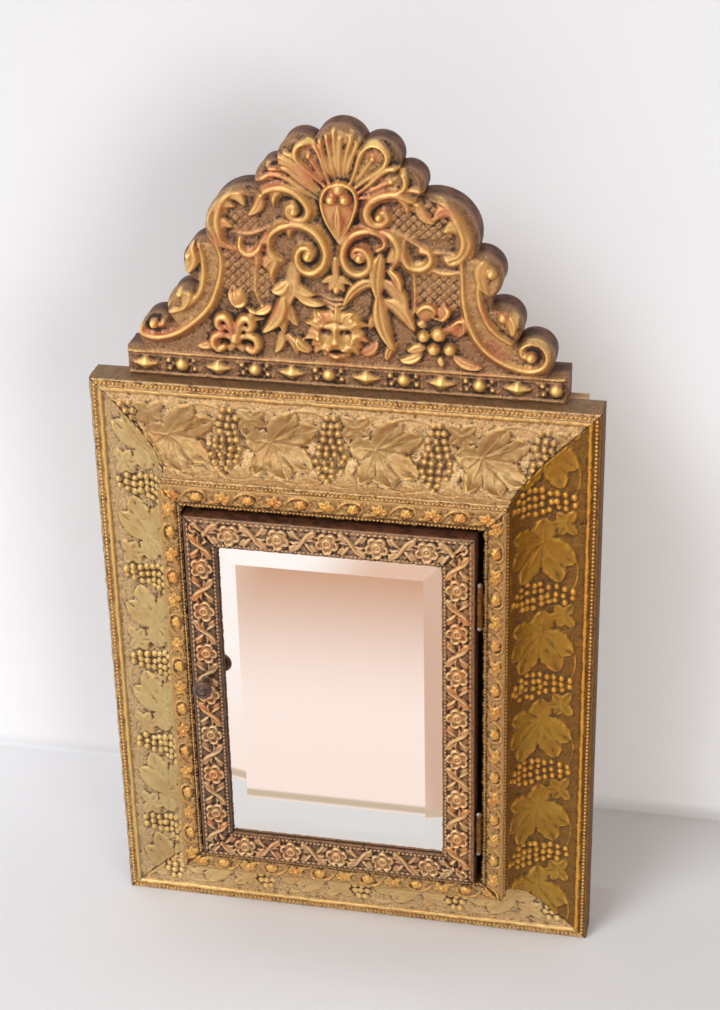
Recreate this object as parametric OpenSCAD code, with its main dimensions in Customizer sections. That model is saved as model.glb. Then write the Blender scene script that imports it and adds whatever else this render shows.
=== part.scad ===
/* [Frame] */
// Width over the outer rim of the frame
frame_w = 310; // [290:1:330]
// Height over the outer rim of the frame
frame_h = 382; // [360:1:410]
// Depth of the flat outer rim, brass included
rim_depth = 19; // [17:0.5:22]
// Height of the inner border above the face of the rim
border_raise = 35; // [33:0.5:38]
// Width of the hollow panel, from the outer edge to the inner border
panel_w = 50; // [46:0.5:54]
// Radius of the hollow that rises to the inner border
cove_r = 25.5; // [22:0.5:27]
// Rise of the panel between the rim and the start of the hollow
cove_rise = 1.5; // [0.5:0.5:3]
// Width of the face of the inner border
border_w = 13.5; // [12:0.5:15]
// Thickness of the pressed brass sheet
sheet_t = 0.8; // [0.6:0.1:1]
// Radius of the bead rows pressed into the sheet
bead_r = 1.1; // [0.9:0.1:1.2]
// Radius of the bright roll moulding beside the outer beads
roll_r = 1.5; // [1.2:0.1:1.7]
// Length of panel taken by one bunch of grapes and one vine leaf
vine_pitch = 64; // [58:1:70]
// Height of the vine above the hollow panel
vine_h = 1.1; // [0.8:0.1:1.3]
// Length of border taken by one berry and one leaf
berry_pitch = 32; // [28:1:36]

/* [Carcass] */
// Depth of the box behind the frame
carcass_depth = 40; // [36:1:60]
// Thickness of the box boards
board_t = 9; // [8:0.5:11]
// Step from the rim of the frame in to the side of the box
side_inset = 10; // [8:0.5:12]
// Step from the top of the frame down to the top of the box
top_drop = 24; // [22:0.5:26]
// Thickness of the back board
back_t = 9; // [6:0.5:10]

/* [Door] */
// Gap between the door and the frame on the knob side
gap_knob_side = 2.5; // [1.5:0.1:3]
// Gap between the door and the frame on the hinge side
gap_hinge_side = 4; // [3.9:0.1:4.6]
// Gap above and below the door
gap_ends = 3; // [2:0.1:4]
// Height of the door face above the face of the inner border
door_proud = 6.5; // [6:0.5:8]
// Thickness of the wooden door rails and stiles
door_t = 15; // [14:0.5:18]
// Width of the door rails and stiles
door_rail_w = 20; // [19:0.5:23]
// Width of the rabbet that holds the glass
rabbet_w = 6; // [5:0.5:7]
// Thickness of the lip in front of the rabbet
lip_t = 1.6; // [1.4:0.1:3]
// Thickness of the mirror glass
glass_t = 4.5; // [4:0.5:5]
// Thickness of the glass at the foot of its bevel
glass_edge_t = 2.4; // [2:0.1:2.8]
// Width of the bevel round the glass
bevel_w = 16; // [14:0.5:20]
// Play between the glass and the sides of its rabbet
glass_play = 1; // [0.5:0.1:1.5]
// Thickness of the board behind the glass
backing_t = 3; // [2.5:0.1:3.2]
// Distance from one rose of the door to the next
rose_pitch = 30; // [26:1:36]
// Radius of a rose
rose_r = 6.3; // [5.5:0.1:6.5]

/* [Hinges] */
// Height of the middle of the upper hinge
hinge_upper_z = 269; // [255:1:285]
// Height of the middle of the lower hinge
hinge_lower_z = 104; // [95:1:120]
// Length of the three hinge knuckles together
barrel_len = 27; // [24:0.5:32]
// Share of that length taken by the middle knuckle
mid_knuckle_len = 13; // [10:0.5:15]
// Outer radius of the knuckles
barrel_r = 1.8; // [1.6:0.05:1.85]
// Radius of the hinge pin
pin_r = 0.9; // [0.7:0.05:1]
// Radius of the ball on each end of the pin
ball_r = 1.9; // [1.6:0.1:2.1]
// Thickness of the hinge leaves
leaf_t = 0.8; // [0.6:0.1:0.9]
// Distance of the hinge axis in front of the inner border
hinge_fwd = 3.2; // [3:0.1:3.8]

/* [Latch] */
// Height of the knob above the base
knob_z = 202; // [160:1:240]
// Projection of the knob in front of the door
knob_len = 16; // [13:0.5:20]
// Radius of the knob head
knob_r = 6.1; // [4.5:0.1:7]
// Radius of the spindle
spindle_r = 1.6; // [1.3:0.1:2]
// Reach of the tongue from the spindle
tongue_reach = 18; // [17:0.5:20]
// Width of the tongue
tongue_w = 8; // [6:0.5:9]
// Thickness of the tongue
tongue_t = 2; // [1.5:0.1:2.5]
// Thickness of the washer between door and tongue
washer_t = 0.6; // [0.4:0.1:0.8]

/* [Crest] */
// Width over the base strip of the crest
crest_w = 266; // [256:1:276]
// Thickness of the crest, brass included
crest_t = 21; // [19:0.5:24]
// Step from the face of the rim back to the face of the crest
crest_setback = 9.5; // [8:0.5:11]
// Height of the base strip of the crest
strip_h = 17.5; // [16:0.5:19]
// Length of base strip taken by one lozenge and one boss
strip_pitch = 45; // [40:1:50]
// Height of the scroll ribs above the face of the crest
rib_r = 2; // [1.6:0.1:2.4]
// Thickness of the batten behind the frame
batten_t = 8; // [7:0.5:10]
// Length of the batten past the right end of the crest
batten_past = 11; // [6:0.5:11]

/* [Fastenings] */
// Shank radius of the small brass screws
screw_r = 1.1; // [0.9:0.05:1.2]
// Length of the small brass screws
screw_len = 8; // [7:0.5:9]
// Shank radius of the crest screws
crest_screw_r = 2; // [1.6:0.1:2.3]
// Depth to which the crest screws enter the crest
crest_screw_bite = 14; // [10:0.5:15]
// Shank radius of the nails
nail_r = 0.6; // [0.5:0.05:0.8]
// Length of the nails
nail_len = 9; // [7:0.5:10]
// Radius of the hanging holes
hang_hole_r = 2.6; // [2.2:0.1:3]
// Distance of the hanging holes from the sides of the box
hang_inset = 35; // [28:1:45]
// Width of the hanger plates
hanger_w = 16; // [14:0.5:20]
// Thickness of the hanger plates
hanger_t = 1.5; // [1.2:0.1:2]
// Height of a hanger plate above the top of the box
hanger_up = 18; // [15:0.5:20]

/* [Clearances] */
// Running clearance between the pin and the knuckles
pin_clear = 0.05; // [0.02:0.01:0.08]
// Running clearance round the spindle
spindle_clear = 0.06; // [0.03:0.01:0.09]
// Clearance between parts that move past each other
move_clear = 0.3; // [0.3:0.05:0.4]
// Clearance round nails and screws
shank_clear = 0.04; // [0.03:0.01:0.06]

/* [Hidden] */
$fn = 48;

// Radius of a nail head, in shank radii
nail_head = 2.2;

// Nails and screws that pass through the back board into the boards before it
back_bite = 5;
back_nail_len = back_t + back_bite;
hanger_screw_len = back_t + back_bite;

// Names for the four sides of a frame
BOTTOM = 0;
TOP = 1;
LEFT = 2;
RIGHT = 3;

// Distances forward from the wall plane
rim_back_d = carcass_depth;
rim_face_d = carcass_depth + rim_depth;
border_face_d = rim_face_d + border_raise;
door_face_d = border_face_d + door_proud;
door_back_d = door_face_d - sheet_t - door_t;
hinge_d = border_face_d + hinge_fwd;
total_depth = door_face_d + knob_len;
crest_face_d = rim_face_d - crest_setback;
crest_back_d = crest_face_d - crest_t;

// Where a distance forward from the wall lies along Y
function y_at(d) = total_depth / 2 - d;

// Opening of the inner border
opening_inset = panel_w + border_w;
opening_right = frame_w / 2 - opening_inset;
opening_left = -opening_right;
opening_low = opening_inset;
opening_high = frame_h - opening_inset;

// Outline of the door
door_left = opening_left + gap_knob_side;
door_right = opening_right - gap_hinge_side;
door_low = opening_low + gap_ends;
door_high = opening_high - gap_ends;
door_w = door_right - door_left;
door_h = door_high - door_low;
door_x = (door_left + door_right) / 2;
door_z = (door_low + door_high) / 2;
sight_w = door_w - 2 * door_rail_w;
sight_h = door_h - 2 * door_rail_w;

// Hinge axis, midway between the door edge and the leaf that faces it
hinge_x = door_right + barrel_r + move_clear;
outer_knuckle_len = (barrel_len - mid_knuckle_len) / 2 - move_clear;
leaf_back_d = door_back_d;
leaf_front_d = hinge_d - barrel_r - move_clear;
leaf_screw_d = (leaf_back_d + leaf_front_d) / 2;
leaf_screw_z = barrel_len / 2 - 5;

// Knob and latch
knob_x = door_left + door_rail_w / 2;
washer_face_d = door_back_d - washer_t;
tongue_front_d = washer_face_d - 0.1;
tongue_back_d = tongue_front_d - tongue_t;
nut_t = 2.5;
mortise_up = tongue_w / 2 + 11;
mortise_down = tongue_w / 2 + 1;

// Depth to which raised ornament starts inside the sheet
sink = 0.3;

// Radii of edges and rows on the sheet
edge_r = 0.8;
bead_u = edge_r + bead_r + 1.2;
roll_u = bead_u + bead_r + roll_r + 1;
wall_roll_r = 0.7;
inner_bead_r = bead_r * 0.8;

// Size of the box
box_half_w = frame_w / 2 - side_inset;
box_h = frame_h - top_drop;
hang_x = box_half_w - hang_inset;

// Wood and brass colours
pine = "burlywood";
old_pine = "peru";
brass_gold = "goldenrod";
brass_dark = "darkgoldenrod";
iron_brown = "saddlebrown";

// Points along an arc, from angle a to angle b
function arc(cx, cy, r, a, b, n = 8) =
    [for (i = [0:n]) let (t = a + (b - a) * i / n) [cx + r * cos(t), cy + r * sin(t)]];

function flip(list) = [for (i = [len(list) - 1:-1:0]) list[i]];

// Section of the frame, as distance in from the edge and height above its back.
// The front of the wood is one sheet thickness under the brass.
cove_u = panel_w - cove_r;
cove_w = rim_depth + cove_rise + cove_r;
wall_top = rim_depth + border_raise;
strip_foot = wall_top - 1.6;

function core_front(wrap) = concat(
    [[wrap ? sheet_t : 0, wrap ? 0 : rim_depth - sheet_t - 0.01]],
    [[wrap ? sheet_t : 0, rim_depth - sheet_t]],
    arc(cove_u, cove_w, cove_r + sheet_t, -90, 0, 10),
    [[panel_w + sheet_t, strip_foot]]);

function core_section(wrap) = concat(
    [[wrap ? sheet_t : 0, 0]],
    core_front(wrap),
    [[panel_w + sheet_t, wall_top - sheet_t]],
    [[opening_inset - sheet_t, wall_top - sheet_t]],
    [[opening_inset - sheet_t, 0]]);

wall_roll_w = cove_w + wall_roll_r + 0.3;
wall_bead_w = strip_foot - inner_bead_r - 0.2;

function cover_front(wrap) = concat(
    [[0, wrap ? 0 : rim_depth - sheet_t]],
    [[0, rim_depth - 0.4]],
    arc(edge_r, rim_depth - edge_r, edge_r, 150, 90, 3),
    arc(bead_u, rim_depth - 0.2, bead_r, 170, 10, 6),
    arc(roll_u, rim_depth, roll_r, 180, 0, 8),
    arc(cove_u, cove_w, cove_r, -90, 0, 10),
    arc(panel_w, wall_roll_w, wall_roll_r, 260, 100, 5),
    arc(panel_w, wall_bead_w, inner_bead_r, 260, 100, 5),
    [[panel_w, strip_foot]]);

function cover_section(wrap) = concat(cover_front(wrap), flip(core_front(wrap)));

// Section of the strip that covers the inner border and folds into the opening
fold_foot = wall_top - (border_face_d - door_back_d);

strip_section = concat(
    [[panel_w, strip_foot]],
    arc(panel_w + edge_r, wall_top - edge_r, edge_r, 180, 90, 3),
    arc(opening_inset - inner_bead_r - 0.4, wall_top - 0.1, inner_bead_r, 175, 5, 6),
    [[opening_inset, wall_top - 0.3]],
    [[opening_inset, fold_foot]],
    [[opening_inset - sheet_t, fold_foot]],
    [[opening_inset - sheet_t, wall_top - sheet_t]],
    [[panel_w + sheet_t, wall_top - sheet_t]],
    [[panel_w + sheet_t, strip_foot]]);

// Section of the door rails and of their brass covers
door_core_section = [
    [sheet_t, 0],
    [sheet_t, door_t],
    [door_rail_w - sheet_t, door_t],
    [door_rail_w - sheet_t, door_t - lip_t],
    [door_rail_w - rabbet_w, door_t - lip_t],
    [door_rail_w - rabbet_w, 0]];

door_top_w = door_t + sheet_t;
door_bead_r = bead_r * 0.8;

door_cover_section = concat(
    [[0, 0]],
    [[0, door_top_w - 0.6]],
    [[0.6, door_top_w]],
    arc(2.6, door_top_w - 0.1, door_bead_r, 175, 5, 6),
    arc(door_rail_w - 2, door_top_w - 0.1, door_bead_r, 175, 5, 6),
    [[door_rail_w - 0.5, door_top_w]],
    [[door_rail_w, door_top_w - 0.5]],
    [[door_rail_w, door_t - lip_t + 0.4]],
    [[door_rail_w - sheet_t, door_t - lip_t + 0.4]],
    [[door_rail_w - sheet_t, door_t]],
    [[sheet_t, door_t]],
    [[sheet_t, 0]]);

// A mitred bar of the given section along the bottom edge of a frame
module mitred_bar(section, len, deep) {
    width = max([for (p = section) p[0]]);
    intersection() {
        rotate([90, 0, 90])
            linear_extrude(len, center = true)
                polygon([for (p = section) [-p[1], p[0]]]);
        translate([0, 1, 0])
            rotate([90, 0, 0])
                linear_extrude(deep + 2)
                    polygon([[-len / 2, 0], [len / 2, 0],
                        [len / 2 - width, width], [-len / 2 + width, width]]);
    }
}

// Places a bottom bar on one side of a frame of w by h, centred on x, z
module on_side(side, w, h, x, z, d) {
    turn = side == BOTTOM ? 0 : side == TOP ? 180 : side == LEFT ? 90 : -90;
    dx = side == LEFT ? -w / 2 : side == RIGHT ? w / 2 : 0;
    dz = side == BOTTOM ? -h / 2 : side == TOP ? h / 2 : 0;
    translate([x + dx, y_at(d), z + dz])
        rotate([0, turn, 0])
            children();
}

module on_frame(side) {
    on_side(side, frame_w, frame_h, 0, frame_h / 2, rim_back_d)
        children();
}

module on_door(side) {
    on_side(side, door_w, door_h, door_x, door_z, door_back_d)
        children();
}

module frame_bar(side, section) {
    on_frame(side)
        mitred_bar(section, side < LEFT ? frame_w : frame_h, wall_top);
}

module door_bar(side, section) {
    on_door(side)
        mitred_bar(section, side < LEFT ? door_w : door_h, door_top_w);
}

// Places things that point forward from distance d in front of the wall
module facing_front(x, z, d) {
    translate([x, y_at(d), z])
        rotate([90, 0, 0])
            children();
}

module facing_back(x, z, d) {
    translate([x, y_at(d), z])
        rotate([-90, 0, 0])
            children();
}

// Countersunk screw along -Z, with the face of its head at zero
module screw(r, len, gap = 0) {
    head = 1.7 * r;
    sink = 0.7 * r;
    rotate_extrude()
        polygon([[0, 0], [head + gap, 0], [r + gap, -sink], [r + gap, -len + r - gap],
            [0.3 * r + gap, -len - gap], [0, -len - gap]]);
}

// Nail along -Z with a domed head that stands on the surface at zero
module nail(r, len) {
    head = nail_head * r;
    rotate_extrude()
        polygon(concat([[0, -len], [0.3 * r, -len], [r, -len + 2 * r], [r, 0]],
            arc(0, 0, head, 0, 90, 5)));
}

// Hole for such a nail, with room for its head above zero
module nail_hole(r, len) {
    head = nail_head * r + shank_clear;
    wide = r + shank_clear;
    rotate_extrude()
        polygon([[0, -len - shank_clear], [0.3 * wide, -len - shank_clear],
            [wide, -len + 2 * r], [wide, 0], [head, 0], [head, head + 1], [0, head + 1]]);
}

// Carcass
module side_board(side) {
    x = side == LEFT ? -box_half_w : box_half_w - board_t;
    difference() {
        translate([x, y_at(rim_back_d), 0])
            cube([board_t, carcass_depth - back_t, box_h]);
        back_nail_places()
            nail_hole(nail_r, back_nail_len);
    }
}

module cross_board(z) {
    half = box_half_w - board_t;
    difference() {
        translate([-half, y_at(rim_back_d), z])
            cube([2 * half, carcass_depth - back_t, board_t]);
        back_nail_places()
            nail_hole(nail_r, back_nail_len);
        hanger_screw_places()
            screw(screw_r, hanger_screw_len, shank_clear);
        crest_screw_places()
            screw(crest_screw_r, crest_screw_len, shank_clear);
    }
}

module back_board() {
    color(pine)
        difference() {
            translate([-box_half_w, y_at(back_t), 0])
                cube([2 * box_half_w, back_t, box_h]);
            back_nail_places()
                nail_hole(nail_r, back_nail_len);
            for (s = [-1, 1])
                translate([s * hang_x - hanger_w / 2, y_at(hanger_t), box_h - hanger_up])
                    cube([hanger_w, hanger_t + 1, hanger_up + 1]);
            hanger_screw_places()
                screw(screw_r, hanger_screw_len, shank_clear);
            hook_places()
                cylinder(h = 2 * hook_bite, r = hook_r + shank_clear, center = true);
        }
}

// Nails lie with their heads let in flush, pointing forward from the back
module back_nail_places() {
    side_x = box_half_w - board_t / 2;
    depth = nail_head * nail_r;
    for (s = [-1, 1], k = [0.12, 0.5, 0.88])
        facing_back(s * side_x, box_h * k, depth)
            children();
    for (s = [-1, 1], z = [board_t / 2, box_h - board_t / 2])
        facing_back(s * box_half_w / 3, z, depth)
            children();
}

module back_nails() {
    color(iron_brown)
        back_nail_places()
            nail(nail_r, back_nail_len);
}

// Frame
module frame_core(side) {
    color(old_pine)
        difference() {
            frame_bar(side, core_section(side != BOTTOM));
            frame_nail_places()
                nail_hole(nail_r, nail_len);
            if (side == LEFT)
                latch_mortise();
            if (side == RIGHT)
                frame_screw_places()
                    screw(screw_r, screw_len, shank_clear);
        }
}

module frame_cover(side) {
    len = side < LEFT ? frame_w : frame_h;
    color(brass_gold)
        difference() {
            union() {
                frame_bar(side, cover_section(side != BOTTOM));
                on_frame(side)
                    vine(len);
            }
            frame_nail_places()
                nail_hole(nail_r, nail_len);
        }
}

module border_strip(side) {
    len = side < LEFT ? frame_w : frame_h;
    color(brass_dark)
        difference() {
            union() {
                frame_bar(side, strip_section);
                on_frame(side)
                    berry_band(len - 2 * opening_inset);
            }
            if (side == RIGHT)
                frame_screw_places()
                    screw(screw_r, screw_len, shank_clear);
        }
}

// Places along a bar, spread evenly about its middle
function places(len, pitch) = let (n = max(1, floor(len / pitch)))
    [for (i = [0:n - 1]) (i - (n - 1) / 2) * pitch];

// A spot on the hollow of a bottom bar, at angle a up from its foot
module on_cove(x, a) {
    translate([x, cove_r * cos(a) - cove_w, cove_u + cove_r * sin(a)])
        rotate([90 + a, 0, 0])
            children();
}

// Bunches of grapes and vine leaves in turn along the hollow panel
GRAPES = [[-2.8, 8], [2.8, 8], [-5.6, 21], [0, 21], [5.6, 21], [-2.8, 34], [2.8, 34], [0, 47]];
vine_band = concat(
    arc(cove_u, cove_w, cove_r + sink, -90, -30, 8),
    arc(cove_u, cove_w, cove_r - vine_h, -30, -90, 8),
    [[roll_u + roll_r + 1, rim_depth + vine_h]],
    [[roll_u + roll_r + 1, rim_depth - sink]]);

function vine_leaf(r) = [for (i = [0:9]) let (t = 90 + 36 * i)
    (i % 2 == 0 ? r : 0.58 * r) * [cos(t), sin(t)]];

module vine(len) {
    free = len - 2 * panel_w;
    for (x = places(free, vine_pitch), p = GRAPES)
        on_cove(x - vine_pitch / 4 + p[0], p[1])
            dome(0, 0, 2.6, vine_h + 0.3 + sink);
    intersection() {
        rotate([90, 0, 90])
            linear_extrude(free + vine_pitch, center = true)
                polygon([for (p = vine_band) [-p[1], p[0]]]);
        union()
            for (x = places(free, vine_pitch))
                translate([x + vine_pitch / 4, 1, cove_u + 5])
                    rotate([90, 0, 0])
                        linear_extrude(wall_top)
                            polygon(vine_leaf(11));
    }
}

// Berries and leaves in turn on the face of the inner border
module berry_band(len) {
    mid = panel_w + border_w / 2 - 0.7;
    for (x = places(len, berry_pitch))
        translate([x, -wall_top, mid])
            rotate([90, 0, 0]) {
                dome(-berry_pitch / 4, 0, 3.8, 1.5 + sink);
                leaf_form(berry_pitch / 4 - 5, 0, 10, 7, 0, 0.9);
            }
}

// One nail in each corner of the panel, on the flat beside the roll
nail_in_x = roll_u + roll_r + 6;
nail_in_z = roll_u + roll_r + 3;
nail_rise = cove_rise * (nail_in_z - roll_u - roll_r) / (cove_u - roll_u - roll_r);

module frame_nail_places() {
    for (s = [-1, 1], z = [nail_in_z, frame_h - nail_in_z])
        facing_front(s * (frame_w / 2 - nail_in_x), z, rim_face_d + nail_rise)
            children();
}

module frame_nails() {
    color(brass_dark)
        frame_nail_places()
            nail(nail_r, nail_len);
}

module latch_mortise() {
    deep = tongue_reach - (knob_x - opening_left) + 2;
    translate([opening_left - deep, y_at(tongue_front_d + 0.6), knob_z - mortise_down])
        cube([deep + 1, tongue_t + 1.2, mortise_up + mortise_down]);
}

// Two strips behind the door stop it at the closed position
stop_share = 0.66;
stop_h = 7;
stop_t = 6;

module door_stops() {
    long = stop_share * (opening_right - opening_left);
    deep = stop_h + sheet_t;
    color(pine)
        for (z = [opening_low - sheet_t, opening_high + sheet_t - deep])
            translate([-long / 2, y_at(door_back_d - move_clear), z])
                cube([long, stop_t, deep]);
}

// Bent hooks in the back board, for brushes and keys
hook_r = 1.2;
hook_bend = 3;
hook_reach = 7;
hook_tip = 4;
hook_bite = 4;
hook_drop = 50;
hook_pitch = 50;

module hook_places() {
    for (k = [-1:1])
        facing_front(k * hook_pitch, box_h - hook_drop, back_t)
            children();
}

module brush_hooks() {
    color(brass_gold)
        hook_places() {
            translate([0, 0, shank_clear - hook_bite])
                cylinder(h = hook_bite - shank_clear + hook_reach, r = hook_r);
            cylinder(h = 1, r = 2.9 * hook_r);
            translate([0, hook_bend, hook_reach])
                rotate([0, -90, 0])
                    rotate_extrude(angle = -90)
                        translate([hook_bend, 0])
                            circle(hook_r);
            translate([0, hook_bend, hook_reach + hook_bend])
                rotate([-90, 0, 0]) {
                    cylinder(h = hook_tip, r = hook_r);
                    translate([0, 0, hook_tip])
                        sphere(hook_r);
                }
        }
}

// Hinges, drawn about the axis at the origin, x to the right, y back
module knuckle(z, len) {
    translate([0, 0, z])
        difference() {
            cylinder(h = len, r = barrel_r);
            translate([0, 0, -1])
                cylinder(h = len + 2, r = pin_r + pin_clear);
        }
}

module leaf_screw_sites(z) {
    for (s = [-1, 1])
        translate([0, y_at(leaf_screw_d), z + s * leaf_screw_z])
            children();
}

module frame_screw_places() {
    for (z = [hinge_lower_z, hinge_upper_z])
        leaf_screw_sites(z)
            translate([opening_right - leaf_t, 0, 0])
                rotate([0, -90, 0])
                    children();
}

module door_screw_places() {
    for (z = [hinge_lower_z, hinge_upper_z])
        leaf_screw_sites(z)
            translate([door_right + leaf_t, 0, 0])
                rotate([0, 90, 0])
                    children();
}

// A leaf lies on the face at x, and reaches the axis where its knuckles are
module leaf_plate(x, z, spans) {
    half = barrel_len / 2;
    translate([x, y_at(leaf_front_d), z - half])
        cube([leaf_t, leaf_front_d - leaf_back_d, barrel_len]);
    for (s = spans)
        translate([x, y_at(hinge_d), z + s[0]])
            cube([leaf_t, hinge_d - leaf_front_d + 1, s[1] - s[0]]);
}

module hinge_leaf_frame(z) {
    half = barrel_len / 2;
    outer = outer_knuckle_len;
    color(iron_brown)
        difference() {
            union() {
                leaf_plate(opening_right - leaf_t, z, [[-half, -half + outer], [half - outer, half]]);
                translate([hinge_x, y_at(hinge_d), z]) {
                    knuckle(-half, outer);
                    knuckle(half - outer, outer);
                }
                for (s = [-half, half - outer])
                    translate([hinge_x + pin_r + pin_clear + 0.2, y_at(hinge_d), z + s])
                        cube([opening_right - hinge_x - pin_r - pin_clear - 0.2, barrel_r, outer]);
            }
            frame_screw_places()
                screw(screw_r, screw_len, shank_clear);
        }
}

module hinge_leaf_door(z) {
    mid = mid_knuckle_len / 2;
    color(iron_brown)
        difference() {
            union() {
                leaf_plate(door_right, z, [[-mid, mid]]);
                translate([hinge_x, y_at(hinge_d), z - mid])
                    knuckle(0, mid_knuckle_len);
                translate([door_right, y_at(hinge_d), z - mid])
                    cube([hinge_x - door_right - pin_r - pin_clear - 0.2, barrel_r, mid_knuckle_len]);
            }
            door_screw_places()
                screw(screw_r, screw_len, shank_clear);
        }
}

module hinge_pin(z) {
    half = barrel_len / 2;
    seat = sqrt(ball_r * ball_r - (0.8 * ball_r) * (0.8 * ball_r));
    color(iron_brown)
        translate([hinge_x, y_at(hinge_d), z]) {
            cylinder(h = barrel_len + 1, r = pin_r, center = true);
            for (s = [-1, 1])
                difference() {
                    translate([0, 0, s * (half + seat)])
                        sphere(ball_r);
                    translate([0, 0, s * (half - ball_r)])
                        cube([4 * ball_r, 4 * ball_r, 2 * ball_r], center = true);
                }
        }
}

module hinge_screws_frame() {
    color(iron_brown)
        frame_screw_places()
            screw(screw_r, screw_len);
}

module hinge_screws_door() {
    color(iron_brown)
        door_screw_places()
            screw(screw_r, screw_len);
}

// Door
module door_core(side) {
    color(old_pine)
        difference() {
            door_bar(side, door_core_section);
            spindle_bore();
            door_nail_places()
                nail_hole(nail_r, nail_len);
            sprig_places()
                cylinder(h = sprig_len, r = sprig_r + shank_clear);
            if (side == RIGHT)
                door_screw_places()
                    screw(screw_r, screw_len, shank_clear);
        }
}

module door_cover(side) {
    len = side < LEFT ? door_w : door_h;
    color("sienna")
        difference() {
            union() {
                door_bar(side, door_cover_section);
                on_door(side)
                    rose_row(len - 2 * door_rail_w);
            }
            spindle_bore();
            facing_front(knob_x, knob_z, door_face_d)
                cylinder(h = 4, r = 0.85 * knob_r + shank_clear);
            door_nail_places()
                nail_hole(nail_r, nail_len);
            if (side == RIGHT)
                door_screw_places()
                    screw(screw_r, screw_len, shank_clear);
        }
}

// Roses with a leaf on each side of them along a door rail
module rose_row(len) {
    for (x = places(len + door_rail_w, rose_pitch))
        translate([x, -door_top_w, door_rail_w / 2])
            rotate([90, 0, 0]) {
                dome(0, 0, rose_r, 1.3 + sink);
                dome(0, 0, 0.45 * rose_r, 2 + sink);
                leaf_form(rose_pitch / 2 - 6, -2, 12, 4, 20, 0.8);
            }
}

module spindle_bore() {
    facing_front(knob_x, knob_z, door_back_d - 1)
        cylinder(h = door_t + 5, r = spindle_r + spindle_clear);
}

// Two nails through the cover on the top rail and two on the bottom one
module door_nail_places() {
    for (s = [-1, 1], z = [door_low + door_rail_w / 2, door_high - door_rail_w / 2])
        facing_front(door_x + s * sight_w * 0.32, z, door_face_d)
            children();
}

module door_nails() {
    color(brass_dark)
        door_nail_places()
            nail(nail_r, nail_len);
}

// Glass with a bevel on all four sides, held by its bevel behind the lip
glass_w = sight_w + 2 * rabbet_w - 2 * glass_play;
glass_h = sight_h + 2 * rabbet_w - 2 * glass_play;
bevel_rise = glass_t - glass_edge_t;
glass_top_d = door_back_d + door_t - lip_t - bevel_rise * (rabbet_w - glass_play) / bevel_w - 0.1;
glass_back_d = glass_top_d - glass_edge_t;

function bevelled(w) = [
    [-w / 2, 0],
    [w / 2, 0],
    [w / 2, glass_edge_t],
    [w / 2 - bevel_w, glass_t],
    [-w / 2 + bevel_w, glass_t],
    [-w / 2, glass_edge_t]];

module mirror_glass() {
    color("lightcyan")
        translate([door_x, y_at(glass_back_d), door_z])
            rotate([90, 0, 0])
                intersection() {
                    rotate([90, 0, 0])
                        linear_extrude(glass_h, center = true)
                            polygon(bevelled(glass_w));
                    rotate([90, 0, 90])
                        linear_extrude(glass_w, center = true)
                            polygon(bevelled(glass_h));
                }
}

module mirror_backing() {
    color(pine)
        translate([door_x - glass_w / 2, y_at(glass_back_d), door_z - glass_h / 2])
            cube([glass_w, backing_t, glass_h]);
}

// Sprigs driven into the sides of the rabbet, behind the backing
sprig_r = 0.5;
sprig_len = 9;
sprig_bite = 4;
sprig_d = glass_back_d - backing_t - sprig_r - 0.05;

module sprig_places() {
    half_w = sight_w / 2 + rabbet_w;
    half_h = sight_h / 2 + rabbet_w;
    for (s = [-1, 1], k = [-0.3, 0.3]) {
        translate([door_x + s * (half_w + sprig_bite), y_at(sprig_d), door_z + k * sight_h])
            rotate([0, -90 * s, 0])
                children();
        translate([door_x + k * sight_w, y_at(sprig_d), door_z + s * (half_h + sprig_bite)])
            rotate([s > 0 ? 180 : 0, 0, 0])
                children();
    }
}

module glazing_sprigs() {
    color("dimgray")
        sprig_places()
            cylinder(h = sprig_len, r = sprig_r);
}

// Knob with its spindle, turned from one piece about the axis
module knob() {
    rose = 0.8;
    neck_r = 0.38 * knob_r;
    head_w = 0.55 * knob_r;
    head_z = knob_len - head_w;
    color(iron_brown)
        facing_front(knob_x, knob_z, door_face_d)
            rotate_extrude()
                polygon(concat(
                    [[0, tongue_back_d - door_face_d - nut_t]],
                    [[spindle_r, tongue_back_d - door_face_d - nut_t]],
                    [[spindle_r, rose + 0.1], [0.6 * knob_r, rose + 0.1], [0.6 * knob_r, rose + 1]],
                    arc(neck_r + 2.6, rose + 4, 2.6, 240, 180, 4),
                    [[neck_r, head_z - 2.4], [neck_r + 0.7, head_z - 1.6], [neck_r + 0.4, head_z - 1]],
                    arc(knob_r - head_w * 0.6, head_z + 0.2, head_w * 0.6, -60, 60, 6),
                    [[knob_r * 0.62, head_z + head_w * 0.72], [knob_r * 0.55, head_z + head_w * 0.66]],
                    arc(0, knob_len - 4.2, 4.2, 35, 90, 5)));
}

module knob_rose() {
    color(iron_brown)
        facing_front(knob_x, knob_z, door_face_d)
            difference() {
                cylinder(h = 0.8, r = 0.85 * knob_r);
                translate([0, 0, -1])
                    cylinder(h = 3, r = spindle_r + spindle_clear);
            }
}

module latch_washer() {
    color(brass_gold)
        facing_front(knob_x, knob_z, washer_face_d)
            difference() {
                cylinder(h = washer_t, r = tongue_w / 2);
                translate([0, 0, -1])
                    cylinder(h = washer_t + 2, r = spindle_r + spindle_clear);
            }
}

// The tongue stands upright at rest and turns into the frame to lock
module latch_tongue() {
    color(brass_gold)
        facing_front(knob_x, knob_z, tongue_back_d)
            difference() {
                union() {
                    cylinder(h = tongue_t, r = tongue_w / 2);
                    translate([-tongue_w / 2, 0, 0])
                        cube([tongue_w, tongue_reach - tongue_w / 2, tongue_t]);
                    translate([0, tongue_reach - tongue_w / 2, 0])
                        cylinder(h = tongue_t, r = tongue_w / 2);
                }
                translate([0, 0, -1])
                    cylinder(h = tongue_t + 2, r = spindle_r);
            }
}

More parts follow.
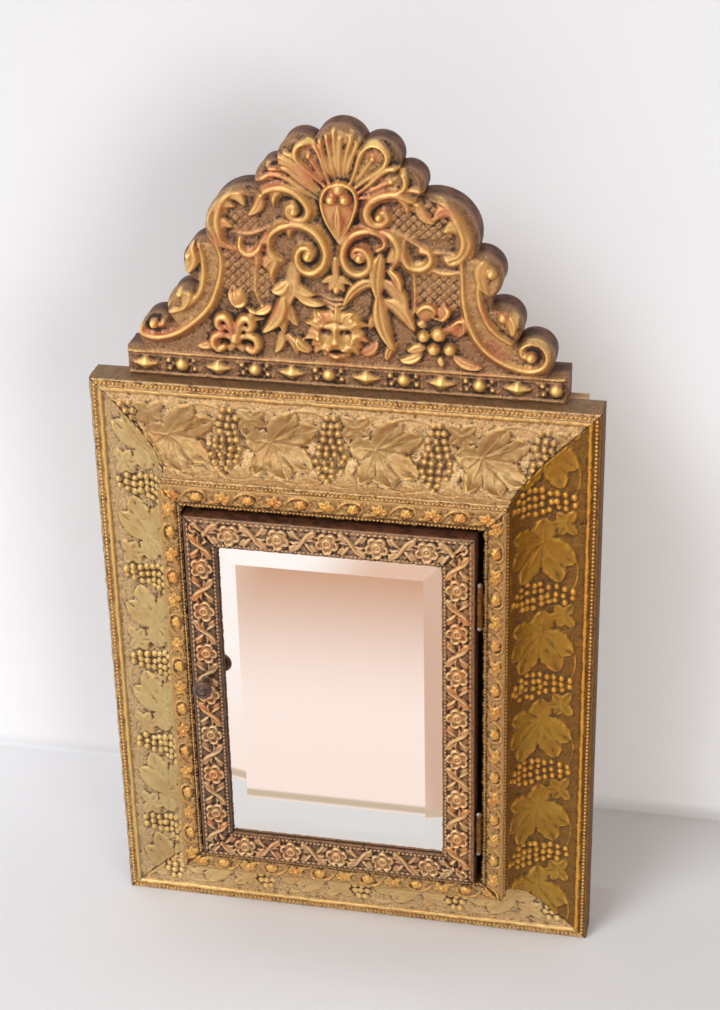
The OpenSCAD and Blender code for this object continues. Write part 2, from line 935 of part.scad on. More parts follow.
module latch_nut() {
    color(brass_gold)
        facing_front(knob_x, knob_z, tongue_back_d - nut_t)
            difference() {
                cylinder(h = nut_t, r = 3.2, $fn = 6);
                translate([0, 0, -1])
                    cylinder(h = nut_t + 2, r = spindle_r);
            }
}

// Crest. The outline is a row of lobes on each side of the middle, each
// given as x, height and radius, and drawn for a crest 266 wide.
crest_k = crest_w / 266;
LOBES = [
    [0, 146.4, 15.6],
    [22.5, 142, 13],
    [38.5, 128, 10.8],
    [54, 97, 26.2],
    [80.5, 75.5, 14],
    [93, 45.5, 13],
    [112, 26.5, 12.8]];

module crest_outline(inset) {
    half = concat([[112, 2]], [for (i = [len(LOBES) - 1:-1:0]) [LOBES[i][0], LOBES[i][1]]]);
    scale(crest_k) {
        for (s = [-1, 1], l = LOBES)
            if (l[0] > 0 || s > 0)
                translate([s * l[0], l[1]])
                    circle(l[2] - inset / crest_k, $fn = 64);
        polygon(concat(half, [for (i = [len(half) - 2:-1:0]) [-half[i][0], half[i][1]]]));
    }
    translate([-crest_w / 2 + inset, 0])
        square([crest_w - 2 * inset, strip_h - inset]);
}

module crest_core() {
    color(old_pine)
        difference() {
            facing_front(0, frame_h, crest_back_d)
                linear_extrude(crest_t - sheet_t)
                    crest_outline(sheet_t);
            crest_screw_places()
                screw(crest_screw_r, crest_screw_len, shank_clear);
        }
}

// Forms of the ornament, drawn on the face with height along Z

module rib_arc(x, y, r, a, b, thick) {
    translate([x, y, -sink])
        rotate([0, 0, a])
            rotate_extrude(angle = b - a)
                translate([r, 0])
                    intersection() {
                        circle(thick, $fn = 24);
                        translate([-thick, 0])
                            square([2 * thick, thick]);
                    }
}

module dome(x, y, r, h) {
    ball = (r * r + h * h) / (2 * h);
    translate([x, y, -sink])
        rotate_extrude()
            intersection() {
                translate([0, h - ball])
                    circle(ball, $fn = 48);
                square([r, h]);
            }
}

// Outline of a pointed leaf along X
function lens(len, wide, n = 6) = concat(
    [for (i = [0:n]) [len * i / n, wide / 2 * sin(180 * i / n)]],
    [for (i = [n - 1:-1:1]) [len * i / n, -wide / 2 * sin(180 * i / n)]]);

module leaf_form(x, y, len, wide, turn, h) {
    translate([x, y, -sink])
        rotate([0, 0, turn])
            linear_extrude(h + sink)
                polygon(lens(len, wide));
}

module volute(x, y, r, hand, thick) {
    rib_arc(x, y, r, 0, 180, thick);
    rib_arc(x - hand * r * 0.16, y, r * 0.84, 180, 360, thick * 0.95);
    rib_arc(x, y, r * 0.68, 0, 180, thick * 0.85);
    rib_arc(x + hand * r * 0.14, y, r * 0.54, 180, 360, thick * 0.8);
    dome(x, y, r * 0.3, thick * 1.5);
}

module crest_shell() {
    for (i = [-3.5:1:3.5]) {
        a = 90 - i * 15.5;
        reach = 34 - abs(i) * 1.2;
        translate([0, 121, -sink])
            rotate([0, 0, a])
                linear_extrude(rib_r + sink)
                    polygon([[8, -0.6], [8, 0.6], [reach, 3.2], [reach + 2, 0], [reach, -3.2]]);
        dome(reach * cos(a), 121 + reach * sin(a), 3.4, rib_r * 1.2);
    }
}

module crest_middle() {
    dome(0, 119, 8, 5);
    dome(-2.8, 119.5, 3, 6);
    dome(2.8, 119.5, 3, 6);
    leaf_form(0, 116, 21, 10, -90, 2.5);
    dome(0, 68, 4, 2.6);
    dome(0, 74, 2.4, 2.8);
    for (t = [-150, -90, -30])
        leaf_form(0, 74, 9, 3, t, 2);
}

// The lion mask at the foot of the crest, of a plain general design
module crest_mask() {
    dome(0, 36, 12.5, 3);
    dome(0, 31, 7, 5.6);
    dome(-6.5, 41, 4, 5);
    dome(6.5, 41, 4, 5);
    dome(0, 43, 4.5, 5.2);
    dome(0, 24, 5, 4);
    for (s = [-1, 1]) {
        dome(s * 11, 48, 3, 3.2);
        dome(s * 12.5, 30, 4.5, 2.6);
    }
}

// Angles and places of one side are given for the right, and mirrored
function turned(s, a) = s > 0 ? a : 180 - a;

module side_arc(s, x, y, r, a, b, thick) {
    rib_arc(s * x, y, r, s > 0 ? a : 180 - b, s > 0 ? b : 180 - a, thick);
}

module side_leaf(s, x, y, len, wide, turn, h) {
    leaf_form(s * x, y, len, wide, turned(s, turn), h);
}

module crest_side(s) {
    volute(s * 16.5, 87, 13.3, s, rib_r);
    volute(s * 23.5, 114, 6.8, -s, rib_r * 0.8);
    volute(s * 114, 31.5, 7.6, s, rib_r * 0.9);
    side_arc(s, 113, 68, 31.7, 145, 253, rib_r * 0.8);
    side_arc(s, 113, 68, 42.3, 162, 262, rib_r * 0.8);
    side_arc(s, 54, 99, 22.5, -45, 115, rib_r * 0.8);
    side_arc(s, 60, 126, 32, 222, 285, rib_r * 0.5);
    side_arc(s, 24, 88, 14, -25, 90, rib_r * 0.8);
    side_leaf(s, 24, 121, 27, 7, -13, 2.4);
    side_leaf(s, 26, 66, 16.5, 7, -76, 2.2);
    side_leaf(s, 30, 52, 20, 7, -87, 2.4);
    side_leaf(s, 27, 62, 24, 6, -57, 1.8);
    side_leaf(s, 24, 66, 15, 5, -143, 1.8);
    side_leaf(s, 13, 58, 10, 4, -153, 1.6);
    translate([s * 46 - 0.8, 48, -sink])
        cube([1.6, 30, 1.4 + sink]);
    dome(s * 49, 88, 4.5, 2.6);
    dome(s * 58, 55, 4.5, 3);
    for (t = [18:72:360])
        dome(s * 61 + 7 * cos(t), 34 + 7 * sin(t), 4.2, 2.6);
    dome(s * 61, 34, 3.2, 4);
}

// Lozenges and bosses in turn along the base strip
strip_start = 12;
strip_edge = 6.5;
strip_mid = strip_h / 2;
lozenge_h = strip_h * 0.26;

module strip_lozenge(x) {
    half = strip_pitch / 4;
    translate([x, strip_mid, -sink])
        polyhedron(
            points = [[-half, 0, 0], [0, -lozenge_h, 0], [half, 0, 0], [0, lozenge_h, 0], [0, 0, 4]],
            faces = [[0, 1, 2, 3], [1, 0, 4], [2, 1, 4], [3, 2, 4], [0, 3, 4]]);
}

module base_strip() {
    for (z = [0.6, strip_h - 2.8])
        translate([1 - crest_w / 2, z, -sink])
            cube([crest_w - 2, 2, 2]);
    for (x = [strip_start:strip_pitch:crest_w - strip_start])
        strip_lozenge(x - crest_w / 2);
    for (x = [strip_start + strip_pitch / 2:strip_pitch:crest_w - strip_edge])
        dome(x - crest_w / 2, strip_mid, 3.6, 3);
}

module crest_cover() {
    color(brass_gold)
        union() {
            difference() {
                facing_front(0, frame_h, crest_back_d)
                    linear_extrude(crest_t)
                        crest_outline(0);
                facing_front(0, frame_h, crest_back_d - 1)
                    linear_extrude(crest_t - sheet_t + 1)
                        crest_outline(sheet_t);
                translate([-crest_w / 2 + sheet_t, y_at(crest_face_d - sheet_t), frame_h - 1])
                    cube([crest_w - 2 * sheet_t, crest_t + 1, 2]);
            }
            facing_front(0, frame_h, crest_face_d) {
                scale(crest_k) {
                    crest_shell();
                    crest_middle();
                    crest_mask();
                    for (s = [-1, 1])
                        crest_side(s);
                }
                base_strip();
            }
        }
}

module crest_batten() {
    left = -crest_w / 2 - 2;
    color(pine)
        difference() {
            translate([left, y_at(rim_back_d), box_h])
                cube([crest_w / 2 + batten_past - left, batten_t, top_drop]);
            crest_screw_places()
                screw(crest_screw_r, crest_screw_len, shank_clear);
        }
}

// The crest screws go up through the top board and the batten
crest_screw_len = board_t + top_drop + crest_screw_bite;

module crest_screw_places() {
    for (s = [-1, 1])
        translate([s * 88 * crest_k, y_at(rim_back_d - batten_t / 2), box_h - board_t])
            rotate([180, 0, 0])
                children();
}

module crest_screws() {
    color("gray")
        crest_screw_places()
            screw(crest_screw_r, crest_screw_len);
}

// Hanger plates, let into the back board and screwed to the top board
module hanger_plate(s) {
    color(brass_dark)
        difference() {
            translate([s * hang_x - hanger_w / 2, y_at(hanger_t), box_h - hanger_up])
                cube([hanger_w, hanger_t, 2 * hanger_up]);
            facing_back(s * hang_x, box_h + hanger_up / 2, -1)
                translate([0, 0, -hanger_t - 3])
                    cylinder(h = hanger_t + 5, r = hang_hole_r);
            hanger_screw_places()
                screw(screw_r, hanger_screw_len, shank_clear);
        }
}

module hanger_screw_places() {
    for (s = [-1, 1], t = [-1, 1])
        facing_back(s * hang_x + t * hanger_w / 4, box_h - board_t / 2, 0)
            children();
}

module hanger_screws() {
    color(brass_gold)
        hanger_screw_places()
            screw(screw_r, hanger_screw_len);
}

color(pine) side_board(LEFT);  // side_board_left
color(pine) side_board(RIGHT);  // side_board_right
color(pine) cross_board(box_h - board_t);  // top_board
color(pine) cross_board(0);  // bottom_board
back_board();
back_nails();
frame_core(TOP);  // frame_rail_top
frame_core(BOTTOM);  // frame_rail_bottom
frame_core(LEFT);  // frame_stile_left
frame_core(RIGHT);  // frame_stile_right
frame_cover(TOP);  // frame_cover_top
frame_cover(BOTTOM);  // frame_cover_bottom
frame_cover(LEFT);  // frame_cover_left
frame_cover(RIGHT);  // frame_cover_right
border_strip(TOP);  // border_strip_top
border_strip(BOTTOM);  // border_strip_bottom
border_strip(LEFT);  // border_strip_left
border_strip(RIGHT);  // border_strip_right
frame_nails();
door_stops();
brush_hooks();
hinge_leaf_frame(hinge_upper_z);  // hinge_leaf_frame_upper
hinge_leaf_frame(hinge_lower_z);  // hinge_leaf_frame_lower
hinge_pin(hinge_upper_z);  // hinge_pin_upper
hinge_pin(hinge_lower_z);  // hinge_pin_lower
hinge_screws_frame();
crest_core();
crest_cover();
crest_batten();
crest_screws();
hanger_plate(-1);  // hanger_plate_left
hanger_plate(1);  // hanger_plate_right
hanger_screws();
door_core(TOP);  // door_rail_top
door_core(BOTTOM);  // door_rail_bottom
door_core(LEFT);  // door_stile_left
door_core(RIGHT);  // door_stile_right
door_cover(TOP);  // door_cover_top
door_cover(BOTTOM);  // door_cover_bottom
door_cover(LEFT);  // door_cover_left
door_cover(RIGHT);  // door_cover_right
mirror_glass();
mirror_backing();
glazing_sprigs();
door_nails();
hinge_leaf_door(hinge_upper_z);  // hinge_leaf_door_upper
hinge_leaf_door(hinge_lower_z);  // hinge_leaf_door_lower
hinge_screws_door();
knob_rose();
latch_washer();
knob();
latch_tongue();
latch_nut();
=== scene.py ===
import math

import bpy
import numpy as np
from mathutils import Matrix, Vector

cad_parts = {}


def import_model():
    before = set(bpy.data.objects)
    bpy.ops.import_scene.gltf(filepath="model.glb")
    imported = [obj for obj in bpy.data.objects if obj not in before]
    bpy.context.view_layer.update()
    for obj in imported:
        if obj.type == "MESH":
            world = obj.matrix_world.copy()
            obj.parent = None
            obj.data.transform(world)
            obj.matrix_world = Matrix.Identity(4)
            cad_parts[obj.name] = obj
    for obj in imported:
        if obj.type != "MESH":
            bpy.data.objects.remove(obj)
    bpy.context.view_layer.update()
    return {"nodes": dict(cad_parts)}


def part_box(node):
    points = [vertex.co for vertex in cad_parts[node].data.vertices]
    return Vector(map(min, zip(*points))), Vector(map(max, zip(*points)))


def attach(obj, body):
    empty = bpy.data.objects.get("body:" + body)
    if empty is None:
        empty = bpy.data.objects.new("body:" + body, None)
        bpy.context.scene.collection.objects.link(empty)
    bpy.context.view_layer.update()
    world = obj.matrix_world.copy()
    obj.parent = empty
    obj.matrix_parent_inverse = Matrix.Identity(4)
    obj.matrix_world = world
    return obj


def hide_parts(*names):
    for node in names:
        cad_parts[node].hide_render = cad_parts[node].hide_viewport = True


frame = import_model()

# Lengths below are in millimetres and are turned to metres when a mesh is made
MM = 0.001
random = np.random.default_rng(7)


def box_mm(node):
    lo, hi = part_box(node)
    return np.array(lo) / MM, np.array(hi) / MM


# Places taken from the frame
RIM_LO, RIM_HI = box_mm("frame_cover_top")
FRAME_W = RIM_HI[0] - RIM_LO[0]
FRAME_H = RIM_HI[2]
RIM_BACK_Y = RIM_HI[1]
DOOR_LO, DOOR_HI = box_mm("door_cover_left")
DOOR_RIGHT = box_mm("door_cover_right")[1][0]
DOOR_BACK_Y = DOOR_HI[1]
CREST_HI = box_mm("crest_cover")[1]
CREST_BACK_Y = CREST_HI[1]

# Section of the frame, as distance in from its edge (u) and height over its back (w)
RIM_T = 19
COVE_R = 25.5
PANEL_W = 50
COVE_U = PANEL_W - COVE_R
COVE_FOOT = RIM_T + 1.5
COVE_W = COVE_FOOT + COVE_R
WALL_TOP = 54
STRIP_FOOT = WALL_TOP - 1.6
OPENING_U = 63.5
FOLD_FOOT = 44.7
SHEET = 0.8
BEAD_U = 3.1
BEAD_R = 1.25
ROLL_U = 6.7
ROLL_R = 1.5
INNER_BEAD_U = 62.2
VINE_START_U = 9

# Section of the door bars
DOOR_RAIL_W = 20
DOOR_TOP_W = 15.8
DOOR_LIP_W = 13.8
DOOR_BEAD_U = 2.6
DOOR_INNER_U = 18

# Crest
CREST_T = 21
STRIP_H = 17.5
CREST_STEP = 0.56
CREST_EDGE_R = 3.2


# Sides of a frame: direction along the bar and direction in to the opening
SIDES = {
    "top": ((1, 0), (0, -1)),
    "right": ((0, -1), (-1, 0)),
    "bottom": ((-1, 0), (0, 1)),
    "left": ((0, 1), (1, 0)),
}


def smooth_path(points, step=0.8):
    """A smooth curve through points, given as pairs or as one flat row of x and y in turn."""
    p = np.array(points, float).reshape(-1, 2)
    ext = np.vstack([2 * p[0] - p[1], p, 2 * p[-1] - p[-2]])
    runs = []
    for a, b, c, d in zip(ext, ext[1:], ext[2:], ext[3:]):
        n = max(2, int(np.linalg.norm(c - b) / step))
        f = np.linspace(0, 1, n, endpoint=False)[:, None]
        runs.append(0.5 * (2 * b + (c - a) * f + (2 * a - 5 * b + 4 * c - d) * f**2
                           + (3 * b - a - 3 * c + d) * f**3))
    return np.vstack(runs + [p[-1:]])


def ease(value, low, high):
    f = np.clip((value - low) / (high - low), 0, 1)
    return f * f * (3 - 2 * f)


def blur(field, cells):
    """Soft average over about the given number of cells each way."""
    reach = max(1, int(3 * cells))
    k = np.exp(-0.5 * (np.arange(-reach, reach + 1) / cells) ** 2)
    k /= k.sum()
    for axis in (0, 1):
        pads = [(0, 0), (0, 0)]
        pads[axis] = (reach, reach)
        wide = np.pad(field, pads, mode="edge")
        size = field.shape[axis]
        field = sum(w * np.take(wide, np.arange(i, i + size), axis=axis)
                    for i, w in enumerate(k))
    return field


def to_segment(a, b, X, Y):
    """How far along from a to b the nearest point lies, from 0 to 1, and its distance."""
    ab = np.subtract(b, a)
    f = np.clip(((X - a[0]) * ab[0] + (Y - a[1]) * ab[1]) / max(ab @ ab, 1e-9), 0, 1)
    return f, np.hypot(X - a[0] - f * ab[0], Y - a[1] - f * ab[1])


class Relief:
    """Heights in millimetres over a flat patch, kept on a fine grid."""

    def __init__(self, x0, x1, y0, y1, step=0.3):
        self.x0, self.y0, self.step = x0, y0, step
        self.shape = (int((y1 - y0) / step) + 1, int((x1 - x0) / step) + 1)
        self.h = np.zeros(self.shape)

    def window(self, lo, hi):
        """Slices and coordinates of the part of the grid between two corners."""
        i0 = max(0, int((lo[1] - self.y0) / self.step))
        i1 = min(self.shape[0], int((hi[1] - self.y0) / self.step) + 2)
        j0 = max(0, int((lo[0] - self.x0) / self.step))
        j1 = min(self.shape[1], int((hi[0] - self.x0) / self.step) + 2)
        x = self.x0 + self.step * np.arange(j0, j1)
        y = self.y0 + self.step * np.arange(i0, i1)
        return (slice(i0, max(i0, i1)), slice(j0, max(j0, j1))), *np.meshgrid(x, y)

    def everywhere(self):
        far = 1e4
        return self.window((-far, -far), (far, far))

    def lift(self, win, h):
        if h.size:
            self.h[win] = np.maximum(self.h[win], h)

    def dome(self, x, y, r, high, wide=1.0):
        win, X, Y = self.window((x - r * wide, y - r), (x + r * wide, y + r))
        d2 = ((X - x) / wide) ** 2 + (Y - y) ** 2
        self.lift(win, high * np.sqrt(np.clip(1 - d2 / (r * r), 0, 1)))

    def domes(self, places, high):
        """Domes of one height, given as x, y and radius."""
        for place in places:
            self.dome(*place, high)

    def ring(self, x, y, r, thick, high):
        reach = r + thick
        win, X, Y = self.window((x - reach, y - reach), (x + reach, y + reach))
        d = np.abs(np.hypot(X - x, Y - y) - r) / thick
        self.lift(win, high * np.sqrt(np.clip(1 - d * d, 0, 1)))

    def ridge(self, points, thick, high, ends=(0.4, 0.4), flat=0.5):
        """A rounded rib along a curve, thinner towards its ends."""
        path = smooth_path(points)
        win, X, Y = self.window(path.min(0) - thick, path.max(0) + thick)
        if X.size == 0:
            return
        near = np.full(X.shape, 1e9)
        place = np.zeros(X.shape)
        count = len(path) - 1
        for i, (a, b) in enumerate(zip(path, path[1:])):
            f, d = to_segment(a, b, X, Y)
            closer = d < near
            near[closer] = d[closer]
            place[closer] = ((i + f) / count)[closer]
        size = ends[0] + (1 - ends[0]) * ease(place, 0, 0.35)
        size *= ends[1] + (1 - ends[1]) * ease(1 - place, 0, 0.35)
        d = near / (thick * size)
        self.lift(win, high * size**0.7 * np.clip(1 - d * d, 0, 1) ** flat)

    def ridges(self, strokes, x=0, y=0, turn=(1, 1)):
        """Ridges given as flat x and y offsets from a place, half thickness, height and ends."""
        for points, thick, high, *ends in strokes:
            self.ridge(np.reshape(points, (-1, 2)) * turn + (x, y), thick, high, *ends)

    def petal(self, base, tip, wide, high, bend=0.0, full=0.8, teeth=0, groove=0.25, start=0.7,
              blunt=0.75, cup=0.0, fold=0.0):
        """A pad from base to tip, such as a leaf's lobe, with a groove along its middle.
        A cupped one is hollow inside a raised edge and has side veins. A folded one is
        higher on one side of the groove."""
        (bx, by), (tx, ty) = base, tip
        size = math.hypot(tx - bx, ty - by)
        ex, ey = (tx - bx) / size, (ty - by) / size
        reach = wide + abs(bend) * size
        win, X, Y = self.window((min(bx, tx) - reach, min(by, ty) - reach),
                                (max(bx, tx) + reach, max(by, ty) + reach))
        a = ((X - bx) * ex + (Y - by) * ey) / size
        b = (Y - by) * ex - (X - bx) * ey
        b = b - bend * size * np.sin(math.pi * np.clip(a, 0, 1))
        along = np.clip(a, 1e-4, 1)
        half = wide / 2 * np.sin(math.pi * along**full) ** blunt + 1e-6
        if teeth:
            half = half * (1 - 0.17 * ((along * teeth) % 1))
        f = np.abs(b) / half
        inside = (a > 0) & (a < 1) & (f < 1)
        h = high * np.sqrt(np.clip(1 - f**2.6, 0, 1)) * (start + (1 - start) * along)
        h = h * (1 + fold * np.clip(b / half, -1, 1))
        if cup:
            swell = f * f * (0.4 + 0.6 * along)
            vein = np.cos(2 * math.pi * (4.2 * along - 0.9 * np.clip(f, 0, 1)))
            h = high * np.clip(1 - f**7, 0, 1) * (1 - cup + cup * swell + 0.06 * cup * vein * along)
        h = h - groove * high * np.exp(-(b / 0.45) ** 2)
        self.lift(win, np.where(inside, h, 0))

    def petals(self, places, high, **look):
        """Petals of one height, given as x and y of base and tip, width and perhaps bend."""
        for bx, by, tx, ty, wide, *bend in places:
            self.petal((bx, by), (tx, ty), wide, high, *bend, **look)

    def crease(self, a, b, wide, deep):
        """A straight furrow that dies out at its first end."""
        win, X, Y = self.window(np.minimum(a, b) - 3 * wide, np.maximum(a, b) + 3 * wide)
        f, d = to_segment(a, b, X, Y)
        self.h[win] -= deep * f * np.exp(-(d / wide) ** 2)

    def swell(self, x, y, wide, tall, high):
        """Adds a soft mound, or a hollow where high is negative."""
        win, X, Y = self.window((x - 3 * wide, y - 3 * tall), (x + 3 * wide, y + 3 * tall))
        self.h[win] += high * np.exp(-((X - x) / wide) ** 2 - ((Y - y) / tall) ** 2)

    def grain(self, size, cells, where=None):
        """Adds a fine random texture, where a mask says."""
        noise = blur(random.standard_normal(self.shape), cells)
        noise *= size / noise.std()
        self.h += noise if where is None else noise * where

    def finish(self, soft=0.7, hollow=3.2, skirt=0.2, depth=1.0):
        """Softens the heights as in a pressed sheet, and finds the hollows and the high spots."""
        self.h = (1 - 0.4 * skirt) * blur(self.h, soft) + skirt * blur(self.h, hollow)
        # The brass materials paint the hollows found here dark, as patina and painted shade. The wide term
        # also darkens the ground beside high forms.
        self.cavity = 1.3 * self.h - blur(self.h, hollow) - 0.3 * blur(self.h, 3 * hollow)
        self.cavity /= depth

    def sample(self, field, x, y):
        """Values of a field of the grid at points, blended between its cells."""
        fx = np.clip((x - self.x0) / self.step, 0, self.shape[1] - 1.001)
        fy = np.clip((y - self.y0) / self.step, 0, self.shape[0] - 1.001)
        j, i = fx.astype(int), fy.astype(int)
        fx, fy = fx - j, fy - i
        return ((field[i, j] * (1 - fx) + field[i, j + 1] * fx) * (1 - fy)
                + (field[i + 1, j] * (1 - fx) + field[i + 1, j + 1] * fx) * fy)


def stipple(relief, size=0.09, upto=0.5):
    """Fine grain on the ground between the raised forms."""
    relief.grain(size, 1.1, where=1 - ease(relief.h, 0.3 * upto, upto))


# Vine of the hollow panel. Along the bar is x, and y grows towards the opening.
VINE_PITCH = 63.8
VINE_FIRST = -106.4
BUNCH_X = 37
CURLED_LEAF = (51.5, 10.5)
BUDS = ((20, 52), (-24, 49), (53, 25))
# Lobes of a leaf: tip from the leaf's place and from the panel's foot, width and teeth
LEAF_TIPS = [(15, 5, 18, 4), (28, 13.5, 19, 5), (27, 39, 20, 5), (13, 48, 20, 5), (-6.5, 46.5, 16, 4),
             (-15.5, 24, 17, 4)]
# Half width of a bunch at each height
BUNCH = [(6, 4.5), (11, 6.5), (16, 7), (20.5, 7.5), (25, 9), (29.5, 10.5), (34, 10.5),
         (38.5, 9), (43, 5.5), (47, 2)]
# Strands over one pitch: x and y in turn from the leaf's place, half thickness and height
VINE_STRANDS = [
    ([-0.6, 24, -2.2, 18, 0, 11.5, 6.5, 6, 15, 3.6, 25, 3.4, 33, 5.5, 38, 4, 44, 3.4], 0.55, 0.9),
    ([4, 44, 10, 49, 20.5, 50.5, 30, 49, 35.5, 45, 35.7, 40], 0.5, 0.8),
    ([-6, 45, -12, 50, -20, 50.5, -24, 47], 0.5, 0.7),
    ([44, 15, 47, 21, 53, 22, 52, 18.5], 0.45, 0.7),
]


def vine_leaf(relief, x, y=24):
    for k, (tx, ty, wide, teeth) in enumerate(LEAF_TIPS):
        relief.petal((x, y), (x + tx, ty), wide, 2.3 - 0.3 * (k % 2), full=0.85, teeth=teeth,
                     start=0.55, blunt=0.5, cup=0.6)
        relief.ridge([(x, y), (x + 0.8 * tx, y + 0.8 * (ty - y))], 0.42, 1.7, (1, 0.3))
    for a, b in zip(LEAF_TIPS, LEAF_TIPS[1:]):
        relief.crease((x, y), (x + 0.42 * (a[0] + b[0]), y + 0.42 * (a[1] + b[1] - 2 * y)), 0.7, 0.9)


def grape_bunch(relief, x):
    for k, (y, half) in enumerate(BUNCH):
        count = max(1, round(2 * half / 5))
        shift = 0.5 * (k % 2)
        for i in range(count):
            gx = x - half + (i + 0.5 + 0.3 * (shift - 0.25)) * 2 * half / count
            jx, jy = random.uniform(-0.6, 0.6, 2)
            wide = random.uniform(0.85, 1.15)
            relief.dome(gx + jx, y + jy, random.uniform(1.95, 2.3), random.uniform(1.6, 2.1), wide)


def curled_leaf(relief, x, y):
    """The small leaf that hangs beside a bunch."""
    tips = ((-8, -5), (-7, 6), (8, -6), (8, 4), (1, 9))
    relief.petals([(x, y, x + tx, y + ty, 8) for tx, ty in tips], 1.7, teeth=3, start=0.6, blunt=0.55,
                  cup=0.5)
    relief.ridge([(x - 5, y), (x, y + 0.5), (x + 6, y - 1)], 0.45, 1.6)


def vine_relief():
    relief = Relief(-195, 195, -31, 64)
    for k in range(-2, 6):
        x = VINE_FIRST + k * VINE_PITCH
        relief.ridges(VINE_STRANDS, x)
        relief.domes([(x + dx, y, 1.1) for dx, y in BUDS], 0.9)
        curled_leaf(relief, x + CURLED_LEAF[0], CURLED_LEAF[1])
        grape_bunch(relief, x + BUNCH_X)
        vine_leaf(relief, x)
    stipple(relief)
    relief.grain(0.13, 5)
    relief.finish(soft=0.8, hollow=4.0)
    return relief


# Berries and leaves of the inner border
BERRY_PITCH = 31.8
BERRY_START = 14
BORDER_MID_U = 56
BORDER_LEAF_X = 15.6
# Strands over one pitch, in offsets from the berry, and the leaf tips in offsets from the leaf
BORDER_STRANDS = [
    ([-11.5, 3.6, -8.6, -0.5, -4.6, -3.8, 0.4, -4.5, 4.6, -3.1, 5.6, 0.4, 3.6, 3.8], 0.75, 1.3),
    ([6.6, 4, 9.4, 2.9, 12, 4.2], 0.55, 1), ([6.8, -4, 9.6, -4.6, 11.4, -2.4], 0.55, 1),
    ([-8.4, 4.4, -5.6, 3.4, -4.4, 4.8], 0.5, 0.9),
]
BORDER_TIPS = ((5.6, -0.2, 4.4), (1.4, -4.4, 4.2), (-4.4, -2.6, 4.2), (3.4, 3.8, 4), (-5.2, 2.4, 3.6))


def border_relief():
    relief = Relief(-135, 135, PANEL_W, OPENING_U)
    mid = BORDER_MID_U
    high = mid + 0.4
    for k in range(-5, 5):
        x = BERRY_START + k * BERRY_PITCH
        relief.dome(x, high, 3.2, 1.6, wide=1.2)
        for i in range(11):
            a, r = 2.4 * i, 0.85 * math.sqrt(i)
            relief.dome(x + 1.2 * r * math.cos(a), high + r * math.sin(a), 0.85, 2.3 - 0.05 * i)
        relief.ridges(BORDER_STRANDS, x, mid)
        leaf = x + BORDER_LEAF_X
        relief.petals([(leaf, high, leaf + tx, high + ty, wide) for tx, ty, wide in BORDER_TIPS], 1.9,
                      teeth=2, cup=0.4, blunt=0.5)
        relief.dome(x + 15.4, mid + 0.2, 1.3, 2.2)
    relief.grain(0.16, 2.2)
    stipple(relief, 0.12)
    relief.finish()
    return relief


# Roses and scrolls of the door
ROSE_PITCH = 30
ROSE_U = 10.3


def door_rose(relief, x, y):
    """Five curled petals, each a crescent, round a ring with a bud."""
    relief.dome(x, y, 6, 1)
    for k in range(5):
        a = math.radians(18 + 72 * k)
        px, py = x + 4 * math.cos(a), y + 4 * math.sin(a)
        turn = [a + math.radians(t) for t in (-118, -70, -25, 25, 70, 118)]
        relief.ridge([(px + 2.5 * math.cos(t), py + 2.5 * math.sin(t)) for t in turn], 0.95, 2.2,
                     ends=(0.5, 0.5))
    relief.ring(x, y, 2.3, 0.85, 2.3)
    relief.dome(x, y, 1, 2.2)


SCROLL_STEM = [([-8.6, 3.2, -5.6, 5.6, -2.4, 3.6, 2.4, -3.6, 5.6, -5.6, 8.6, -3.2], 1.3, 1.9, (0.6, 0.6),
                0.35)]
SCROLL_LEAVES = [([1.6, -0.2, 5, -1.4, 8, -0.6], 0.8, 1.6),
                 ([1.2, 0.6, 3.8, 3.2, 5.6, 6], 1.1, 1.8, (0.4, 0.8))]


def door_scroll(relief, x, y, hand):
    """An S-shaped leaf of two strands with side leaves, between two roses."""
    relief.ridges(SCROLL_STEM, x, y, (1, hand))
    for s in (-1, 1):
        up = s * hand
        relief.ridges(SCROLL_LEAVES, x, y, (s, up))
        relief.petal((x + s * 1.6, y - up * 1.8), (x + s * 8.4, y - up * 7), 4.6, 2.1, full=1.3,
                     groove=0.35, blunt=0.8)
        relief.petal((x + s * 5, y + up * 2), (x + s * 9, y + up * 6.4), 2.8, 1.6)
        relief.dome(x + s * 6.4, y + up * 6, 1, 1.4)


def door_relief():
    relief = Relief(-130, 130, 0, DOOR_RAIL_W)
    for k in range(-4, 5):
        door_rose(relief, k * ROSE_PITCH, ROSE_U)
        door_scroll(relief, (k + 0.5) * ROSE_PITCH, ROSE_U, 1 if k % 2 else -1)
    stipple(relief, 0.1)
    relief.finish()
    return relief


# Crest. x is across, from the middle, and y is the height over the top of the frame.
LOBES = [(0, 146.4, 15.6), (22.5, 142, 13), (38.5, 128, 10.8), (54, 97, 26.2),
         (80.5, 75.5, 14), (93, 45.5, 13), (112, 26.5, 12.8)]


def inside_polygon(points, X, Y):
    """Distance to the edge of a polygon, positive inside it."""
    inside = np.zeros(X.shape, bool)
    near = np.full(X.shape, 1e9)
    for (ax, ay), (bx, by) in zip(points, points[1:] + points[:1]):
        cross = ((ay > Y) != (by > Y)) & (X < (bx - ax) * (Y - ay) / ((by - ay) or 1e-9) + ax)
        inside ^= cross
        near = np.minimum(near, to_segment((ax, ay), (bx, by), X, Y)[1])
    return np.where(inside, near, -near)


def crest_depth(X, Y):
    """Distance in from the scalloped edge of the crest, negative outside it."""
    half_w = CREST_HI[0]
    deep = np.minimum(np.minimum(half_w - np.abs(X), Y), STRIP_H - Y)
    right = [(112, 2)] + [(x, y) for x, y, r in reversed(LOBES)]
    polygon = right + [(-x, y) for x, y in reversed(right[:-1])]
    deep = np.maximum(deep, inside_polygon(polygon, X, Y))
    for x, y, r in LOBES:
        deep = np.maximum(deep, r - np.hypot(np.abs(X) - x, Y - y))
    return deep


SHELL_FOOT = (1, 117)
